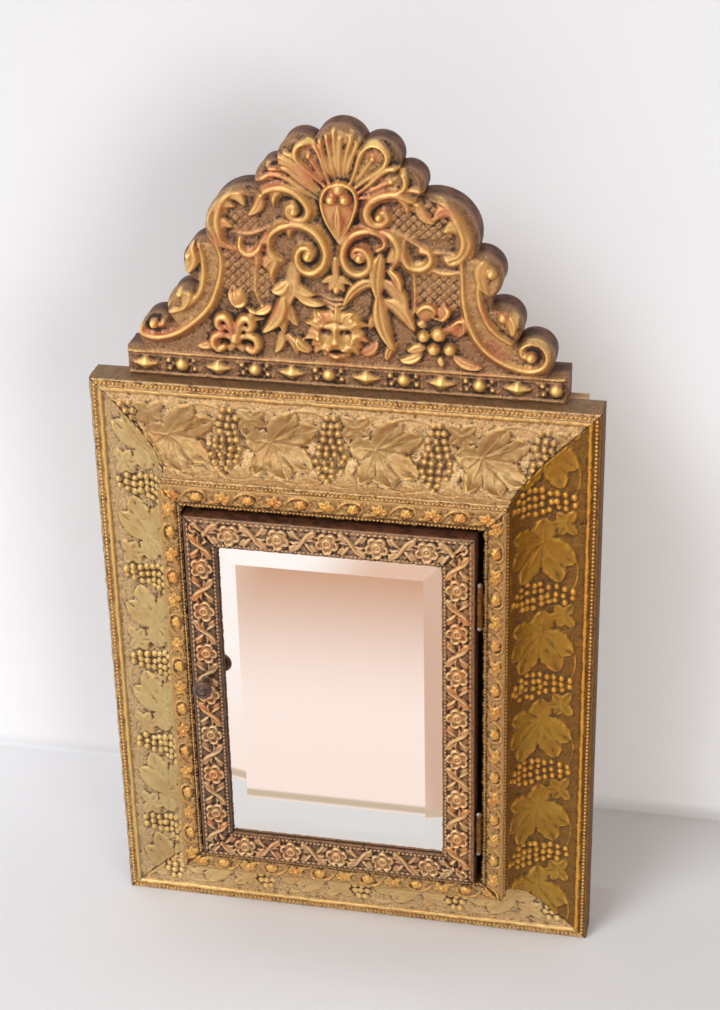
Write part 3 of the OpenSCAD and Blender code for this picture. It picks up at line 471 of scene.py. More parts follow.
# Angle, reach and half width of the flutes
FLUTES = ((122, 41, 6.8), (55, 43, 7.4), (27, 42, 7.2))


def flute(relief, angle, reach, half):
    """A looped groove of the shell, round a rib that ends in a ball."""
    a = math.radians(angle)
    dx, dy = math.cos(a), math.sin(a)

    def at(along, off):
        return (SHELL_FOOT[0] + along * dx - off * dy, SHELL_FOOT[1] + along * dy + off * dx)

    def edge(hand):
        return [at(13, hand * 1.6), at(0.5 * reach, hand * 0.5 * half),
                at(0.8 * reach, hand * half), at(0.95 * reach, hand * 0.75 * half)]

    relief.petal(at(9, 0), at(reach + 1.5, 0), 2.4 * half, 1.5, full=1.5, groove=0)
    relief.ridge(edge(-1) + [at(reach, 0)] + edge(1)[::-1], 1.9, 4.2, ends=(0.6, 0.6))
    relief.ridge([at(15, 0), at(0.8 * reach, 0)], 1.5, 2.6, ends=(0.4, 1))
    relief.dome(*at(0.8 * reach, 0), 2.2, 3.6)


# Straight ribs and side folds of the shell: x and y in turn, half thickness, height and ends
SHELL_RIBS = [([-37, 143, -28, 140, -14, 127], 5, 1.4, (0.8, 0.6)),
              ([-35, 134, -24, 130, -10, 121], 5, 1.4, (0.8, 0.6))]
for rib in ([-5.8, 157, -3.8, 146, -1, 131], [2.2, 156, 1.4, 133], [13, 156, 9, 146, 5, 133],
            [7.4, 161, 8.5, 157, 5.9, 147.6, 3.4, 132], [-1.6, 160.4, -0.8, 150, 0.4, 134],
            [-9.6, 154, -7, 144, -3, 132]):
    SHELL_RIBS.append((rib, 1.7, 3.2, (0.9, 0.4)))
for fold in ([-41, 138, -37, 143.4, -29, 141.6, -20, 135.6, -9, 124],
             [-39, 136, -30, 136.2, -22.7, 130.9, -10, 121], [-30, 146, -22, 142, -14, 134, -6, 125],
             [-35, 140.6, -27, 138.4, -18, 130.6, -9, 122.4],
             [-44, 130, -39, 132.6, -31, 131.6, -22, 126, -11, 118.4]):
    SHELL_RIBS.append((fold, 1.8, 3.2, (0.9, 0.4)))


def crest_shell(relief):
    """Flutes that fan out from the boss, with straight ribs in the middle."""
    for sizes in FLUTES:
        flute(relief, *sizes)
    relief.petal((1.4, 122), (4.5, 165), 25, 1.3, full=1.5, groove=0)
    relief.ridges(SHELL_RIBS)


def crest_boss(relief):
    """The pear-shaped boss at the foot of the shell."""
    relief.petal((0.4, 92), (0.4, 132), 21, 4.2, full=1.35, groove=0, start=0.5)
    relief.ridge([0.2, 94, -4.1, 101.1, -7.6, 108.7, -9.4, 118.3, -6.4, 126.4, 1.2, 130, 8.6, 127,
                  11, 120.4, 9.2, 111.6, 5.3, 102.7, 0.8, 94], 1.5, 5, (0.7, 0.7))
    relief.dome(0.9, 126, 4.6, 6)
    relief.domes([(-3.4, 120.6, 3.9), (4.4, 120.6, 3.9)], 6.8)
    relief.petal((0.2, 96), (0.4, 117), 6, 6, full=1.1)


# Strokes of the crest: x and y of its points in turn, half its thickness, its height and the
# size of its two ends
VOLUTES = [
    ([-50, 111, -46.6, 117, -42, 122.6, -36, 125, -30, 125, -24, 122.6, -19, 117.7, -17, 112.5, -19, 107.8,
      -24, 106.4, -29, 108.9, -29.6, 113.2, -26, 115, -23.6, 112], 2.5, 4.6, (0.4, 0.6)),
    ([-31, 124.7, -37, 119.5, -38, 113], 1.6, 3.4, (0.9, 0.4)),
    ([52.5, 112.4, 47, 118.4, 42, 121.6, 34, 125, 25, 123.4, 18.4, 118.8, 16.4, 111.8, 20, 106.6,
      25.5, 106.2, 28.8, 110, 26.6, 114, 23, 112], 2.5, 4.6, (0.4, 0.6)),
    ([33, 124.4, 39.5, 118.6, 40, 112], 1.6, 3.4, (0.9, 0.4)),
    ([-34, 80.4, -38, 83.4, -41.2, 87.4, -40.6, 95, -36, 100.2, -29, 103.2, -20.9, 103.3, -13.5, 99.6,
      -9, 93, -7.5, 86, -10.2, 78.8, -16.4, 74.4, -22.6, 76.6, -24.9, 82.4, -22.9, 88.4, -18.2, 89.2,
      -15.4, 85.6, -17.8, 83], 2.4, 5, (0.45, 0.7)),
    ([-29.4, 94.5, -28.6, 99.6, -23.6, 102.4], 1.5, 3.2, (0.5, 0.9)),
    ([22, 90, 26.6, 93.6, 25.4, 99, 17.8, 102.2, 9.3, 99.9, 4, 93.3, 2.5, 85.4, 5.3, 78.4, 11.3, 75.4,
      17.2, 78.8, 18.2, 85, 15, 89.8, 9.9, 90.6, 8, 86.6, 11, 84], 2.4, 5, (0.5, 0.7)),
    ([23, 101.8, 28, 101, 32.4, 97.8, 34.8, 92.6, 33.8, 85.3, 30, 79], 2.6, 4.2, (0.5, 0.4)),
    ([38.4, 98, 37.8, 87.6, 41, 81.6, 48, 80.6, 53.2, 84.8, 52.6, 90.1, 47.5, 91.4], 2.2, 4, (0.4, 0.7)),
    ([-58.8, 92, -58.4, 86.4, -53.4, 83, -47.8, 86.4, -45, 93.6], 2.1, 3.8, (0.6, 0.4)),
    ([-41.4, 90, -41.6, 85, -37.4, 80, -40.4, 73, -40, 65], 1.8, 3.4, (0.7, 0.3)),
    ([-48, 86, -48.4, 80, -50, 75], 2.2, 3.2, (0.8, 0.5)),
]
CARTOUCHES = [
    ([-38, 130, -49.9, 128.4, -59.4, 125, -67.4, 118.9, -74.3, 110.5, -77, 102.5, -74.4, 93.9, -70, 87.4,
      -62, 85.4], 1.5, 3, (0.5, 0.5)),
    ([-52, 119, -59, 122.4, -65.4, 118.6, -69.4, 111.8, -71.6, 103.8, -71, 96.1, -69.2, 90, -63, 86],
      2.4, 4.2, (0.3, 0.4)),
    ([30, 127.4, 46.6, 127, 59.4, 122, 69.2, 112.4, 75, 101.5, 75.6, 95, 70.6, 87, 65, 84.4, 62, 87],
      1.6, 3.2, (0.5, 0.9)),
    ([58, 119.5, 66, 113.6, 70.8, 105.5, 72.4, 97, 69.4, 90, 64, 87], 2.3, 4.2, (0.3, 0.6)),
    ([-63, 96.1, -55.1, 95.5, -48.4, 96.9, -41, 100.8], 1.1, 2.0, (0.6, 0.6)),
    ([30.5, 104.4, 37.4, 99.9, 45, 95, 53.4, 91.1, 60.2, 90.6, 66, 90.5], 1.2, 2.2, (0.6, 0.6)),
    ([-49.4, 79, -50.2, 70.7, -50.3, 58.7, -47, 50], 1.1, 2.2, (0.8, 0.6)),
    ([43, 80, 43.9, 69.7, 43.8, 58.7, 41.9, 47], 1.1, 2.2, (0.8, 0.6)),
    ([53.3, 80, 61.8, 78.2, 69.5, 79.2], 1.3, 2.4, (0.8, 0.8)),
]
SIDE_RIBS = [
    ([-86, 94, -82.2, 83, -81.2, 74.2, -81.8, 65.8, -84.4, 57.3, -90.8, 49.6, -98.3, 44.8, -106.5, 42.6],
      1.7, 3.4, (0.6, 0.7)),
    ([-73.5, 90, -70.8, 80.4, -70.8, 73, -73.1, 62.7, -78.2, 50.2, -87.8, 39.2, -99.1, 30.8, -111, 26.8,
      -120.4, 28.4, -123, 34.7, -119.3, 40.6, -113, 42, -107.8, 39.4, -108.8, 35, -113.5, 35],
      1.9, 3.8, (0.6, 0.8)),
    ([86.3, 90, 82.3, 79.5, 80.9, 70.4, 82.2, 59.5, 86.5, 48.9, 92.6, 41.9, 102, 36],
      1.7, 3.4, (0.6, 0.7)),
    ([71.2, 86, 71.8, 69.8, 72.9, 58.9, 76.3, 46.3, 82.3, 35.6, 91, 27.9, 101.3, 23, 111.6, 21,
      119.2, 24.4, 121.4, 31.1, 118.1, 37.3, 111.6, 38.9, 106.4, 35.8, 106.8, 30.4, 112, 29.6],
      1.9, 3.8, (0.6, 0.8)),
]

# Blades of the hanging leaves and of the sides: x and y of base and tip, width and bend
BLADES = [
    (-28.6, 80, -31.4, 52, 8, 0.06), (-30, 60, -34, 34, 7.6, -0.1), (-31, 67, -41.4, 61, 7.6, 0.15),
    (-33.6, 59, -48, 34, 8, 0.12), (-30, 52, -25.6, 39, 5, -0.1), (-28.6, 70, -14, 60, 5.6, -0.16),
    (-28, 64, -9, 54.4, 5.6, -0.14), (-41, 52, -52, 47, 4.6, 0.1), (-36, 36, -41, 20.6, 5.4, 0.1),
    (-33, 34, -26.6, 20.6, 5, 0.1), (24.4, 88, 23, 58, 8, -0.06), (23, 64, 31.8, 28, 8.4, -0.08),
    (24.8, 72, 39.6, 51, 8.4, 0.1), (26, 60, 43.6, 40.6, 8.4, 0.1), (24, 72, 1.6, 54, 6.6, -0.14),
    (28, 79, 36, 65, 5.4, 0.12), (24, 52, 17, 40, 5, -0.1), (33, 33, 26.6, 20.4, 5.2, -0.1),
    (-97, 66, -96, 45, 7.6, 0.2), (-93, 68, -89, 90, 7, -0.15), (-103, 52, -110, 46, 5, 0.1),
    (88.6, 92, 87, 66, 8, -0.2), (93, 70, 97, 56, 6.6, 0.1), (90, 64, 101, 42, 9.6, 0.16),
    (-73, 28, -89, 22.4, 5.4, 0.1), (66, 27, 84, 20.6, 5.6, -0.1), (48, 27, 34, 22.4, 5.4, 0.1),
    (-18, 24, -27, 33, 6, 0.1), (12, 24, 22, 33, 6, -0.1),
]
LOBE_PADS = [
    (-72, 108, -60.4, 112.4, 9, 0.3), (-72, 98, -62.4, 99.6, 8, 0.3), (-66, 119, -54.6, 112.6, 8, 0.25),
    (72.4, 104, 60.4, 104, 10, -0.3), (66, 115, 55, 110.6, 8, -0.25), (-45, 121, -53, 107, 7.6, 0.15),
    (46, 121, 55.6, 108, 7.6, -0.15), (-40, 98, -47, 90.4, 6.4, 0.1), (33, 92, 28, 83, 7, 0.1),
    (-38, 84, -44.6, 75, 7, -0.1),
]
VOLUTE_EYES = [(-18.2, 84.2, 3.7), (12.2, 85.4, 3.7), (-25.4, 111.6, 3), (24, 111, 3),
               (-113.6, 35.4, 3), (112, 30, 3.4)]
SIDE_BERRIES = [(-96.4, 56, 3), (-90, 80, 2.6), (88.4, 80, 3.2), (95.6, 53.6, 4)]
SIDE_BANDS = [
    ([-79, 90, -76, 76, -77.5, 64, -82, 54, -90, 45, -100, 38.5, -112, 35], 6.5, 1.2, (0.9, 0.7)),
    ([79, 88, 76.6, 74, 78, 60, 82, 48, 89, 37, 99, 30, 111, 29], 7, 1.3, (0.9, 0.7)),
    ([-100, 66, -97, 52, -106, 48], 6.5, 1.2, (0.9, 0.8)),
    ([92, 84, 91.4, 66, 98, 52, 106, 44], 7.5, 1.4, (0.9, 0.8)),
]


def crest_strokes(relief):
    for points, thick, high, ends in SIDE_BANDS:
        relief.ridge(points, thick, high, ends=ends, flat=0.2)
    for strokes in (CARTOUCHES, SIDE_RIBS, VOLUTES):
        for points, thick, high, ends in strokes:
            relief.ridge(points, 2.3 * thick, 0.5 * high, ends=ends, flat=0.7)
            relief.ridge(points, 1.15 * thick, high, ends=ends)
    relief.petals(LOBE_PADS, 3.4, groove=0.2, blunt=0.6)
    relief.domes(VOLUTE_EYES, 6)
    for k, (*ends, wide, bend) in enumerate(BLADES):
        relief.petal(ends[:2], ends[2:], 1.25 * wide, 2.8 + 0.7 * (k % 4), bend, groove=0.35,
                     blunt=0.7, fold=0.35 if bend > 0 else -0.35)
    relief.domes(SIDE_BERRIES, 5)


def crest_palmette(relief):
    """The small drop and palmette between the big volutes, over a few folds."""
    tips = ((-11.5, 68), (-7, 62.5), (-2.4, 60.5), (2.6, 62.5), (7, 68))
    relief.petals([(-2.4, 72.5, *tip, 4.6) for tip in tips], 3)
    relief.petal((-2.4, 69), (-2.4, 85), 5.4, 3.6, groove=0.2)
    relief.dome(-2.2, 63.6, 2.2, 3.6)
    for k, y in enumerate((57.4, 54.4, 51.4)):
        half = 12 - 2.5 * k
        relief.ridge([(-2.6 - half, y + 3), (-2.6, y), (-2.6 + half, y + 3)], 1, 1.6)


# Hooks of the left blossom, in offsets from its middle line, and strokes of the bud and the flowers
BLOSSOM_X = -64
BLOSSOM_HOOKS = [
    ([2, 33, 2.6, 38.6, 5.6, 42.6, 9.6, 41.8, 10.4, 37.4, 8, 35.6], 3.1, 4.6, (0.8, 0.9)),
    ([3, 33, 5.4, 37, 6.6, 38.4], 1.4, 3.6),
    ([3, 30, 8, 31.4, 12.4, 30, 13.6, 25.6, 10.6, 21.8, 7.4, 23.4], 3.0, 4.4, (0.7, 0.9)),
]
FLOWER_STROKES = [
    ([-66, 29.6, -62, 28.4], 0.9, 5.8),
    ([-65, 62, -66.4, 56.7, -62.6, 50.6, -57.6, 51.7, -56, 57.4], 1.5, 4.4),
    ([-63.4, 61.5, -62.6, 57, -59, 53.4], 1.1, 4.8), ([-57, 49, -52, 46.6, -47.6, 48], 1.5, 3),
    ([-55, 46, -51, 42.6, -46.6, 42.4], 1.3, 2.8), ([47, 49, 45.8, 54, 50.6, 58, 55.4, 55.6, 54.4, 50], 2, 4),
    ([60, 58.6, 63.4, 55, 60.6, 50.4, 55.6, 49.4], 1.9, 3.8),
    ([63, 41, 66, 47, 71.8, 49.6, 72.4, 43, 68, 38], 1.7, 3.4),
]


def crest_flowers(relief):
    """A blossom at each side of the mask, and the bud over the left one."""
    for hand in (-1, 1):
        relief.ridges(BLOSSOM_HOOKS, BLOSSOM_X, turn=(hand, 1))
        relief.petal((BLOSSOM_X, 27), (BLOSSOM_X + hand * 5, 19.6), 5, 2.6, groove=0.2)
    relief.dome(BLOSSOM_X, 29, 4.2, 5.2)
    relief.ridges(FLOWER_STROKES)
    relief.dome(-61, 55.6, 5.4, 3.8)
    relief.domes([(50, 52.6, 5), (60.4, 54, 4.4), (67.6, 44, 5)], 2.2)
    for x, y, r in ((48.8, 38.4, 4), (57.6, 40.2, 5), (54.6, 30.6, 4.2), (64.2, 31, 4.2)):
        relief.dome(x, y, r, 4.6)
        relief.ring(x, y, 0.45 * r, 0.8, 4.9)
    relief.petals([(50, 31.5, 38.4, 28.4, 7), (61, 43, 70, 46.6, 5), (51, 45, 44.6, 46.6, 5),
                   (58, 26, 60, 19, 5)], 3.4, groove=0.2)


# Mounds of the mask: across from the middle, up, half width, half height and rise
MASK_PLACE = (-3, 35)
MASK_FORMS = [
    (0, 0, 11, 13, 4), (0, 10, 8, 3.6, 1), (5.6, 6.4, 4, 1.7, 2.8), (5.2, 2.9, 2.7, 1.5, -3),
    (5.2, 2.8, 1.3, 1.1, 2.4), (0, 3.4, 2, 4.8, 2.8), (0, -2.8, 3.4, 1.9, 3.4), (4.2, -6.4, 3.3, 2.7, 2.8),
    (9.6, -1.4, 2.8, 3.8, 2.2), (0, -10.2, 5.4, 1.1, -3.8), (0, -13.4, 3.4, 2, 2.6),
    (11.4, 11.6, 2.8, 3, 3.6), (11.4, 11.4, 1.3, 1.4, -2.2),
]


def crest_mask(relief):
    """A plain lion mask: mane, ears, brow, cheeks, muzzle and chin as general forms."""
    x, y = MASK_PLACE
    for k in range(19):
        a = math.radians(-66 + 312 * k / 18)
        reach = 19.5 if k % 2 else 17
        tip = (x + 1.05 * reach * math.cos(a), y + 1 + 0.92 * reach * math.sin(a))
        base = (x + 9 * math.cos(a), y + 1 + 9 * math.sin(a))
        relief.petal(base, tip, 5.4, 2.6 + 0.7 * (k % 2), bend=0.2 if k < 9 else -0.2, groove=0.3,
                     fold=0.3)
    for across, up, wide, tall, rise in MASK_FORMS:
        for s in (-1, 1) if across else (0,):
            relief.swell(x + s * across, y + up, wide, tall, 0.85 * rise)


# Fields of the trellis: middle and half sizes
TRELLIS_PITCH = 5.8
TRELLISES = ((-60, 72, 11, 14), (58, 67, 13, 13), (50, 109, 19, 11), (-45.5, 68, 4, 13), (-56, 103, 9, 6))


def trellis(relief, x, y, rx, ry):
    """A field of small raised lozenges, each with a sunk point, parted by furrows."""
    win, X, Y = relief.window((x - rx, y - ry), (x + rx, y + ry))
    far = np.maximum(np.abs(((X + Y) / TRELLIS_PITCH) % 1 - 0.5),
                     np.abs(((X - Y) / TRELLIS_PITCH) % 1 - 0.5))
    lozenge = 1.5 * ease(far, 0.44, 0.3) - 1.1 * ease(far, 0.2, 0.06)
    field = ease(((X - x) / rx) ** 4 + ((Y - y) / ry) ** 4, 1, 0.8)
    relief.h[win] += field * lozenge


# Along the crest's foot: where the first lozenge and boss are, and pearls in offsets from a boss
STRIP_PITCH = 45
FIRST_LOZENGE = -121
FIRST_BOSS = -98.5
PEARLS = [(-7.4, -2.8, 1.5), (-8, 2.4, 1.7), (7.8, -2.4, 1.7), (7.4, 2.9, 1.5), (-5.4, 0, 0.9),
          (5.4, 0.2, 0.9), (-10.8, 4, 1.1), (11, -3.8, 1.1), (-11, -3.9, 1), (10.9, 4.1, 1)]


def crest_strip(relief):
    """The band along the foot: lozenges and bosses in turn, with small pearls between."""
    half_w = CREST_HI[0]
    mid = STRIP_H / 2
    relief.h[relief.window((-half_w + 2, 2.6), (half_w - 2, STRIP_H - 3.4))[0]] -= 0.9
    for short, y, thick, high in ((1.5, 1.5, 1.2, 1.4), (1.5, STRIP_H - 1.6, 1.2, 1.7),
                                 (4, STRIP_H - 4.1, 0.5, 0.8)):
        relief.ridge([(-half_w + short, y), (0, y), (half_w - short, y)], thick, high, (1, 1))
    for k in range(6):
        x = FIRST_LOZENGE + STRIP_PITCH * k
        win, X, Y = relief.window((x - 12, 0), (x + 12, STRIP_H))
        across, up = np.abs(X - x) / 10.6, np.abs(Y - mid) / 5.4
        relief.lift(win, 4.2 * np.clip(1 - across - up - 0.5 * across * up, 0, 1) ** 0.8)
        boss = FIRST_BOSS + STRIP_PITCH * k
        relief.dome(boss, mid, 4, 3.4)
        for dx, dy, r in PEARLS:
            relief.dome(boss + dx, mid + dy, r, 1.2 * r)


def crest_relief():
    relief = Relief(-135, 135, 0, 164)
    for field in TRELLISES:
        trellis(relief, *field)
    for part in (crest_shell, crest_flowers, crest_palmette, crest_strokes, crest_boss, crest_mask,
                 crest_strip):
        part(relief)
    stipple(relief, 0.22, upto=2.6)
    relief.finish(soft=1.0, hollow=4.2, skirt=0.6, depth=2.1)
    # Along the foot strip, painted shade darkens the ground and painted highlight brightens the raised
    # lozenges and bosses.
    Y = relief.everywhere()[2]
    band = ease(Y, 2.2, 3.2) * ease(-Y, 3.6 - STRIP_H, 4.8 - STRIP_H)
    relief.cavity -= 0.12 * band * (1 - ease(relief.h, 0.5, 1.3))
    relief.cavity += 0.45 * band * ease(relief.h, 1.0, 2.2)
    return relief


# Sections of the sheet, dense enough for the relief. FINE is the spacing of their points.
FINE = 0.6


def line(a, b, step):
    n = max(1, round(math.dist(a, b) / step))
    f = np.linspace(0, 1, n + 1)[:, None]
    return np.array(a) * (1 - f) + np.array(b) * f


def arc(cx, cy, r, a, b, step):
    n = max(2, round(abs(math.radians(b - a)) * r / step))
    t = np.radians(np.linspace(a, b, n + 1))
    return np.stack([cx + r * np.cos(t), cy + r * np.sin(t)], axis=1)


def joined(*runs):
    """One line of points from several, without doubled points."""
    points = np.vstack(runs)
    keep = np.r_[True, np.linalg.norm(np.diff(points, axis=0), axis=1) > 0.05]
    return points[keep]


def cover_front(wrap):
    runs = [line((0, 0), (0, RIM_T - SHEET), 1.6)] if wrap else []
    return joined(
        *runs,
        arc(SHEET, RIM_T - SHEET, SHEET, 180, 90, 0.35),
        line((SHEET, RIM_T), (2, RIM_T - 0.25), 0.5),
        line((2, RIM_T - 0.25), (4.4, RIM_T - 0.25), 0.8),
        line((4.4, RIM_T - 0.25), (5.2, RIM_T), 0.4),
        arc(ROLL_U, RIM_T, ROLL_R, 180, 0, 0.4),
        line((8.2, RIM_T), (COVE_U, COVE_FOOT), FINE),
        arc(COVE_U, COVE_W, COVE_R, -90, 0, FINE),
        arc(PANEL_W, COVE_W + 1, 0.7, 260, 100, 0.4),
        line((PANEL_W, COVE_W + 1.8), (PANEL_W, STRIP_FOOT), 0.9))


def cover_back(wrap):
    return joined(
        line((PANEL_W + SHEET, STRIP_FOOT), (PANEL_W + SHEET, COVE_W), 3.2),
        arc(COVE_U, COVE_W, COVE_R + SHEET, 0, -90, 8),
        line((COVE_U, COVE_FOOT - SHEET), (SHEET, RIM_T - SHEET), 12),
        *([line((SHEET, RIM_T - 2), (SHEET, 0), 9)] if wrap else []))


def strip_front():
    return joined(
        line((PANEL_W, STRIP_FOOT), (PANEL_W, WALL_TOP - SHEET), 0.4),
        arc(PANEL_W + SHEET, WALL_TOP - SHEET, SHEET, 180, 90, 0.35),
        line((PANEL_W + SHEET, WALL_TOP), (61, WALL_TOP), 0.5),
        line((61, WALL_TOP - 0.15), (62.9, WALL_TOP - 0.15), 0.6),
        arc(OPENING_U - 0.6, WALL_TOP - 0.75, 0.6, 90, 0, 0.3),
        line((OPENING_U, WALL_TOP - 1.2), (OPENING_U, FOLD_FOOT), 1.6))


def strip_back():
    near, far, top = PANEL_W + SHEET, OPENING_U - SHEET, WALL_TOP - SHEET
    return joined(line((far, FOLD_FOOT), (far, top), 5), line((far, top), (near, top), 6),
                  line((near, top), (near, STRIP_FOOT), 2))


def door_front():
    top, rail = DOOR_TOP_W, DOOR_RAIL_W
    return joined(
        line((0, 0), (0, top - 1), 1.8),
        arc(1, top - 1, 1, 180, 90, 0.4),
        line((1, top), (rail - 1, top), 0.5),
        arc(rail - 0.8, top - 0.8, 0.8, 90, 0, 0.4),
        line((rail, top - 0.8), (rail, DOOR_LIP_W), 1.2))


def door_back():
    far, top = DOOR_RAIL_W - SHEET, DOOR_TOP_W - SHEET
    return joined(line((far, DOOR_LIP_W), (far, top), 6), line((far, top), (SHEET, top), 9),
                  line((SHEET, top), (SHEET, 0), 8))


def make_mesh(name, verts, faces, extra=(), fields=None):
    """A smooth mesh from points in millimetres, quads as an array and larger faces as lists."""
    quads = np.asarray(faces, dtype=np.int64).reshape(-1, 4)
    loops = np.concatenate([quads.ravel()] + [np.asarray(e, dtype=np.int64) for e in extra])
    sizes = np.concatenate([np.full(len(quads), 4), [len(e) for e in extra]]).astype(np.int64)
    mesh = bpy.data.meshes.new(name)
    mesh.vertices.add(len(verts))
    mesh.vertices.foreach_set("co", (np.asarray(verts) * MM).astype(np.float32).ravel())
    mesh.loops.add(len(loops))
    mesh.loops.foreach_set("vertex_index", loops.astype(np.int32))
    mesh.polygons.add(len(sizes))
    mesh.polygons.foreach_set("loop_start", (np.cumsum(sizes) - sizes).astype(np.int32))
    mesh.polygons.foreach_set("loop_total", sizes.astype(np.int32))
    mesh.polygons.foreach_set("use_smooth", np.arange(len(sizes)) < len(quads))
    for key, values in (fields or {}).items():
        layer = mesh.attributes.new(key, "FLOAT", "POINT")
        layer.data.foreach_set("value", np.asarray(values, np.float32).ravel())
    mesh.update()
    mesh.validate()
    piece = bpy.data.objects.new(name, mesh)
    bpy.context.scene.collection.objects.link(piece)
    return piece


def outward(points):
    """Unit normals of a section line, to the left of its direction."""
    way = np.gradient(points, axis=0)
    way /= np.linalg.norm(way, axis=1)[:, None]
    return np.stack([-way[:, 1], way[:, 0]], axis=1)


def waves(s, t, size):
    """Slow unevenness of a hand-worked sheet."""
    total = np.zeros(s.shape)
    for length in (95, 47, 26):
        a, b, c = random.uniform(0, 2 * math.pi, 3)
        total += np.sin(s * 2 * math.pi / length + a + 1.5 * np.sin(t / 17 + b)) \
            * np.cos(t * 2 * math.pi / (length * 0.8) + c)
    return total * size / 3


# How dark the sheet gets in its furrows, at the mitres and on the outer sides, as dirt and painted shade,
# how much the roll moulding is brightened, as wear and painted highlight, and the gap at a mitre
FOLD_DIRT_AND_SHADE = 0.42
MITRE_DIRT_AND_SHADE = 0.4
SIDE_DIRT_AND_SHADE = 0.2
ROLL_POLISH_AND_HIGHLIGHT = 0.75
ROLL_LOOK = 1.5
SEAM = 0.15

# A frame as its centre, its width and height, and the depth of its back
FRAME = ((0, FRAME_H / 2), (FRAME_W, FRAME_H), RIM_BACK_Y)
DOOR = (((DOOR_LO[0] + DOOR_RIGHT) / 2, (DOOR_LO[2] + DOOR_HI[2]) / 2),
        (DOOR_RIGHT - DOOR_LO[0], DOOR_HI[2] - DOOR_LO[2]), DOOR_BACK_Y)


def bar_length(side, place):
    return place[1][0 if side in ("top", "bottom") else 1]


def on_bar(side, place, s, u, w):
    """Points of a bar of a frame, from places along it, in from its edge and over its back."""
    centre, size, back_y = place
    (ax, az), (bx, bz) = SIDES[side]
    x = centre[0] - bx * size[0] / 2 + ax * s + bx * u
    z = centre[1] - bz * size[1] / 2 + az * s + bz * u
    return np.stack([x, back_y - w, z], axis=-1)


def bar(name, side, place, front, back, relief, across, furrows, wave=0.25, step=FINE, wall=0.0,
        roll=0.0):
    """A mitred bar of pressed sheet, its front raised by a relief and closed behind."""
    half = bar_length(side, place) / 2
    f = np.linspace(-1, 1, int(2 * half / step) + 1)[None, :]
    u, w = front[:, :1], front[:, 1:]
    normal = outward(front)
    s = f * (half - u)
    t = across[:, None] + 0 * f
    lively = ease(across, across.min(), across.min() + 3)[:, None]
    h = relief.sample(relief.h, s, t) * lively
    cavity = relief.sample(relief.cavity, s, t) * lively
    # Painted shade with tarnish: the outer walls of the bar are darkened.
    cavity -= SIDE_DIRT_AND_SHADE * wall * ease(-u, -0.7, -0.1)
    # Painted highlight with wear: the roll moulding is brightened and reads as raised.
    polish_and_highlight = roll * np.exp(-((u - ROLL_U) / 1.4) ** 2)
    cavity, h_look = cavity + ROLL_POLISH_AND_HIGHLIGHT * polish_and_highlight, h + ROLL_LOOK * polish_and_highlight
    # Painted shade with dirt: the furrows beside the mouldings go dark.
    for fold_u, fold_w in furrows:
        cavity -= FOLD_DIRT_AND_SHADE * np.exp(-(((u - fold_u) ** 2 + (w - fold_w) ** 2) / 0.7))
    to_mitre = half - u - np.abs(s)
    # Painted shade with dirt: the mitre seams go dark.
    cavity -= MITRE_DIRT_AND_SHADE * np.exp(-(to_mitre / 0.6) ** 2)
    crease = 0.45 * np.exp(-((to_mitre - 1.6) / 0.9) ** 2) * (1 + np.sin(u * 1.9) * np.sin(u * 0.7))
    lift = h + waves(s, t, wave) * ease(u, 1, 12) + crease * ease(u, 8, 12)
    fu, fw = u + lift * normal[:, :1], w + lift * normal[:, 1:]
    bu, bw = back[:, :1] + 0 * f, back[:, 1:] + 0 * f
    u_all = np.vstack([fu, bu])
    points = on_bar(side, place, f * (half - u_all - SEAM), u_all, np.vstack([fw, bw]))
    rows, cols = points.shape[:2]
    index = np.arange(rows * cols).reshape(rows, cols)
    under = np.roll(index, -1, axis=0)
    quads = np.stack([index[:, :-1], under[:, :-1], under[:, 1:], index[:, 1:]], axis=-1)
    caps = [index[::-1, 0].tolist(), index[:, -1].tolist()]
    quiet = np.zeros(bu.shape)
    # The outer walls take the dark brown side colour: tarnish and painted shade.
    edge = wall * ease(-u, -0.6, -0.1) * np.ones(h.shape)
    fields = {"cavity": np.vstack([cavity, quiet - 0.2]), "height": np.vstack([h_look, quiet]),
              "edge": np.vstack([edge, quiet])}
    return make_mesh(name, points.reshape(-1, 3), quads, caps, fields)


def arc_length(points, zero_u):
    """Length along a section line, counted from where it passes distance zero_u in."""
    run = np.r_[0, np.cumsum(np.linalg.norm(np.diff(points, axis=0), axis=1))]
    face = points[:, 1] > 0.9 * points[:, 1][np.argmin(np.abs(points[:, 0] - zero_u))]
    order = np.where(face, np.abs(points[:, 0] - zero_u), 1e9)
    return run - run[np.argmin(order)]


def ellipsoid(rings=5, spokes=8):
    """Points and quads of a round bead of radius one, its axis along z."""
    points, quads = [], []
    for i in range(rings + 1):
        a = math.pi * i / rings
        for k in range(spokes):
            b = 2 * math.pi * k / spokes
            points.append((math.sin(a) * math.cos(b), math.sin(a) * math.sin(b), math.cos(a)))
    for i in range(rings):
        for k in range(spokes):
            m = (k + 1) % spokes
            quads.append((i * spokes + k, (i + 1) * spokes + k, (i + 1) * spokes + m, i * spokes + m))
    return np.array(points), np.array(quads)


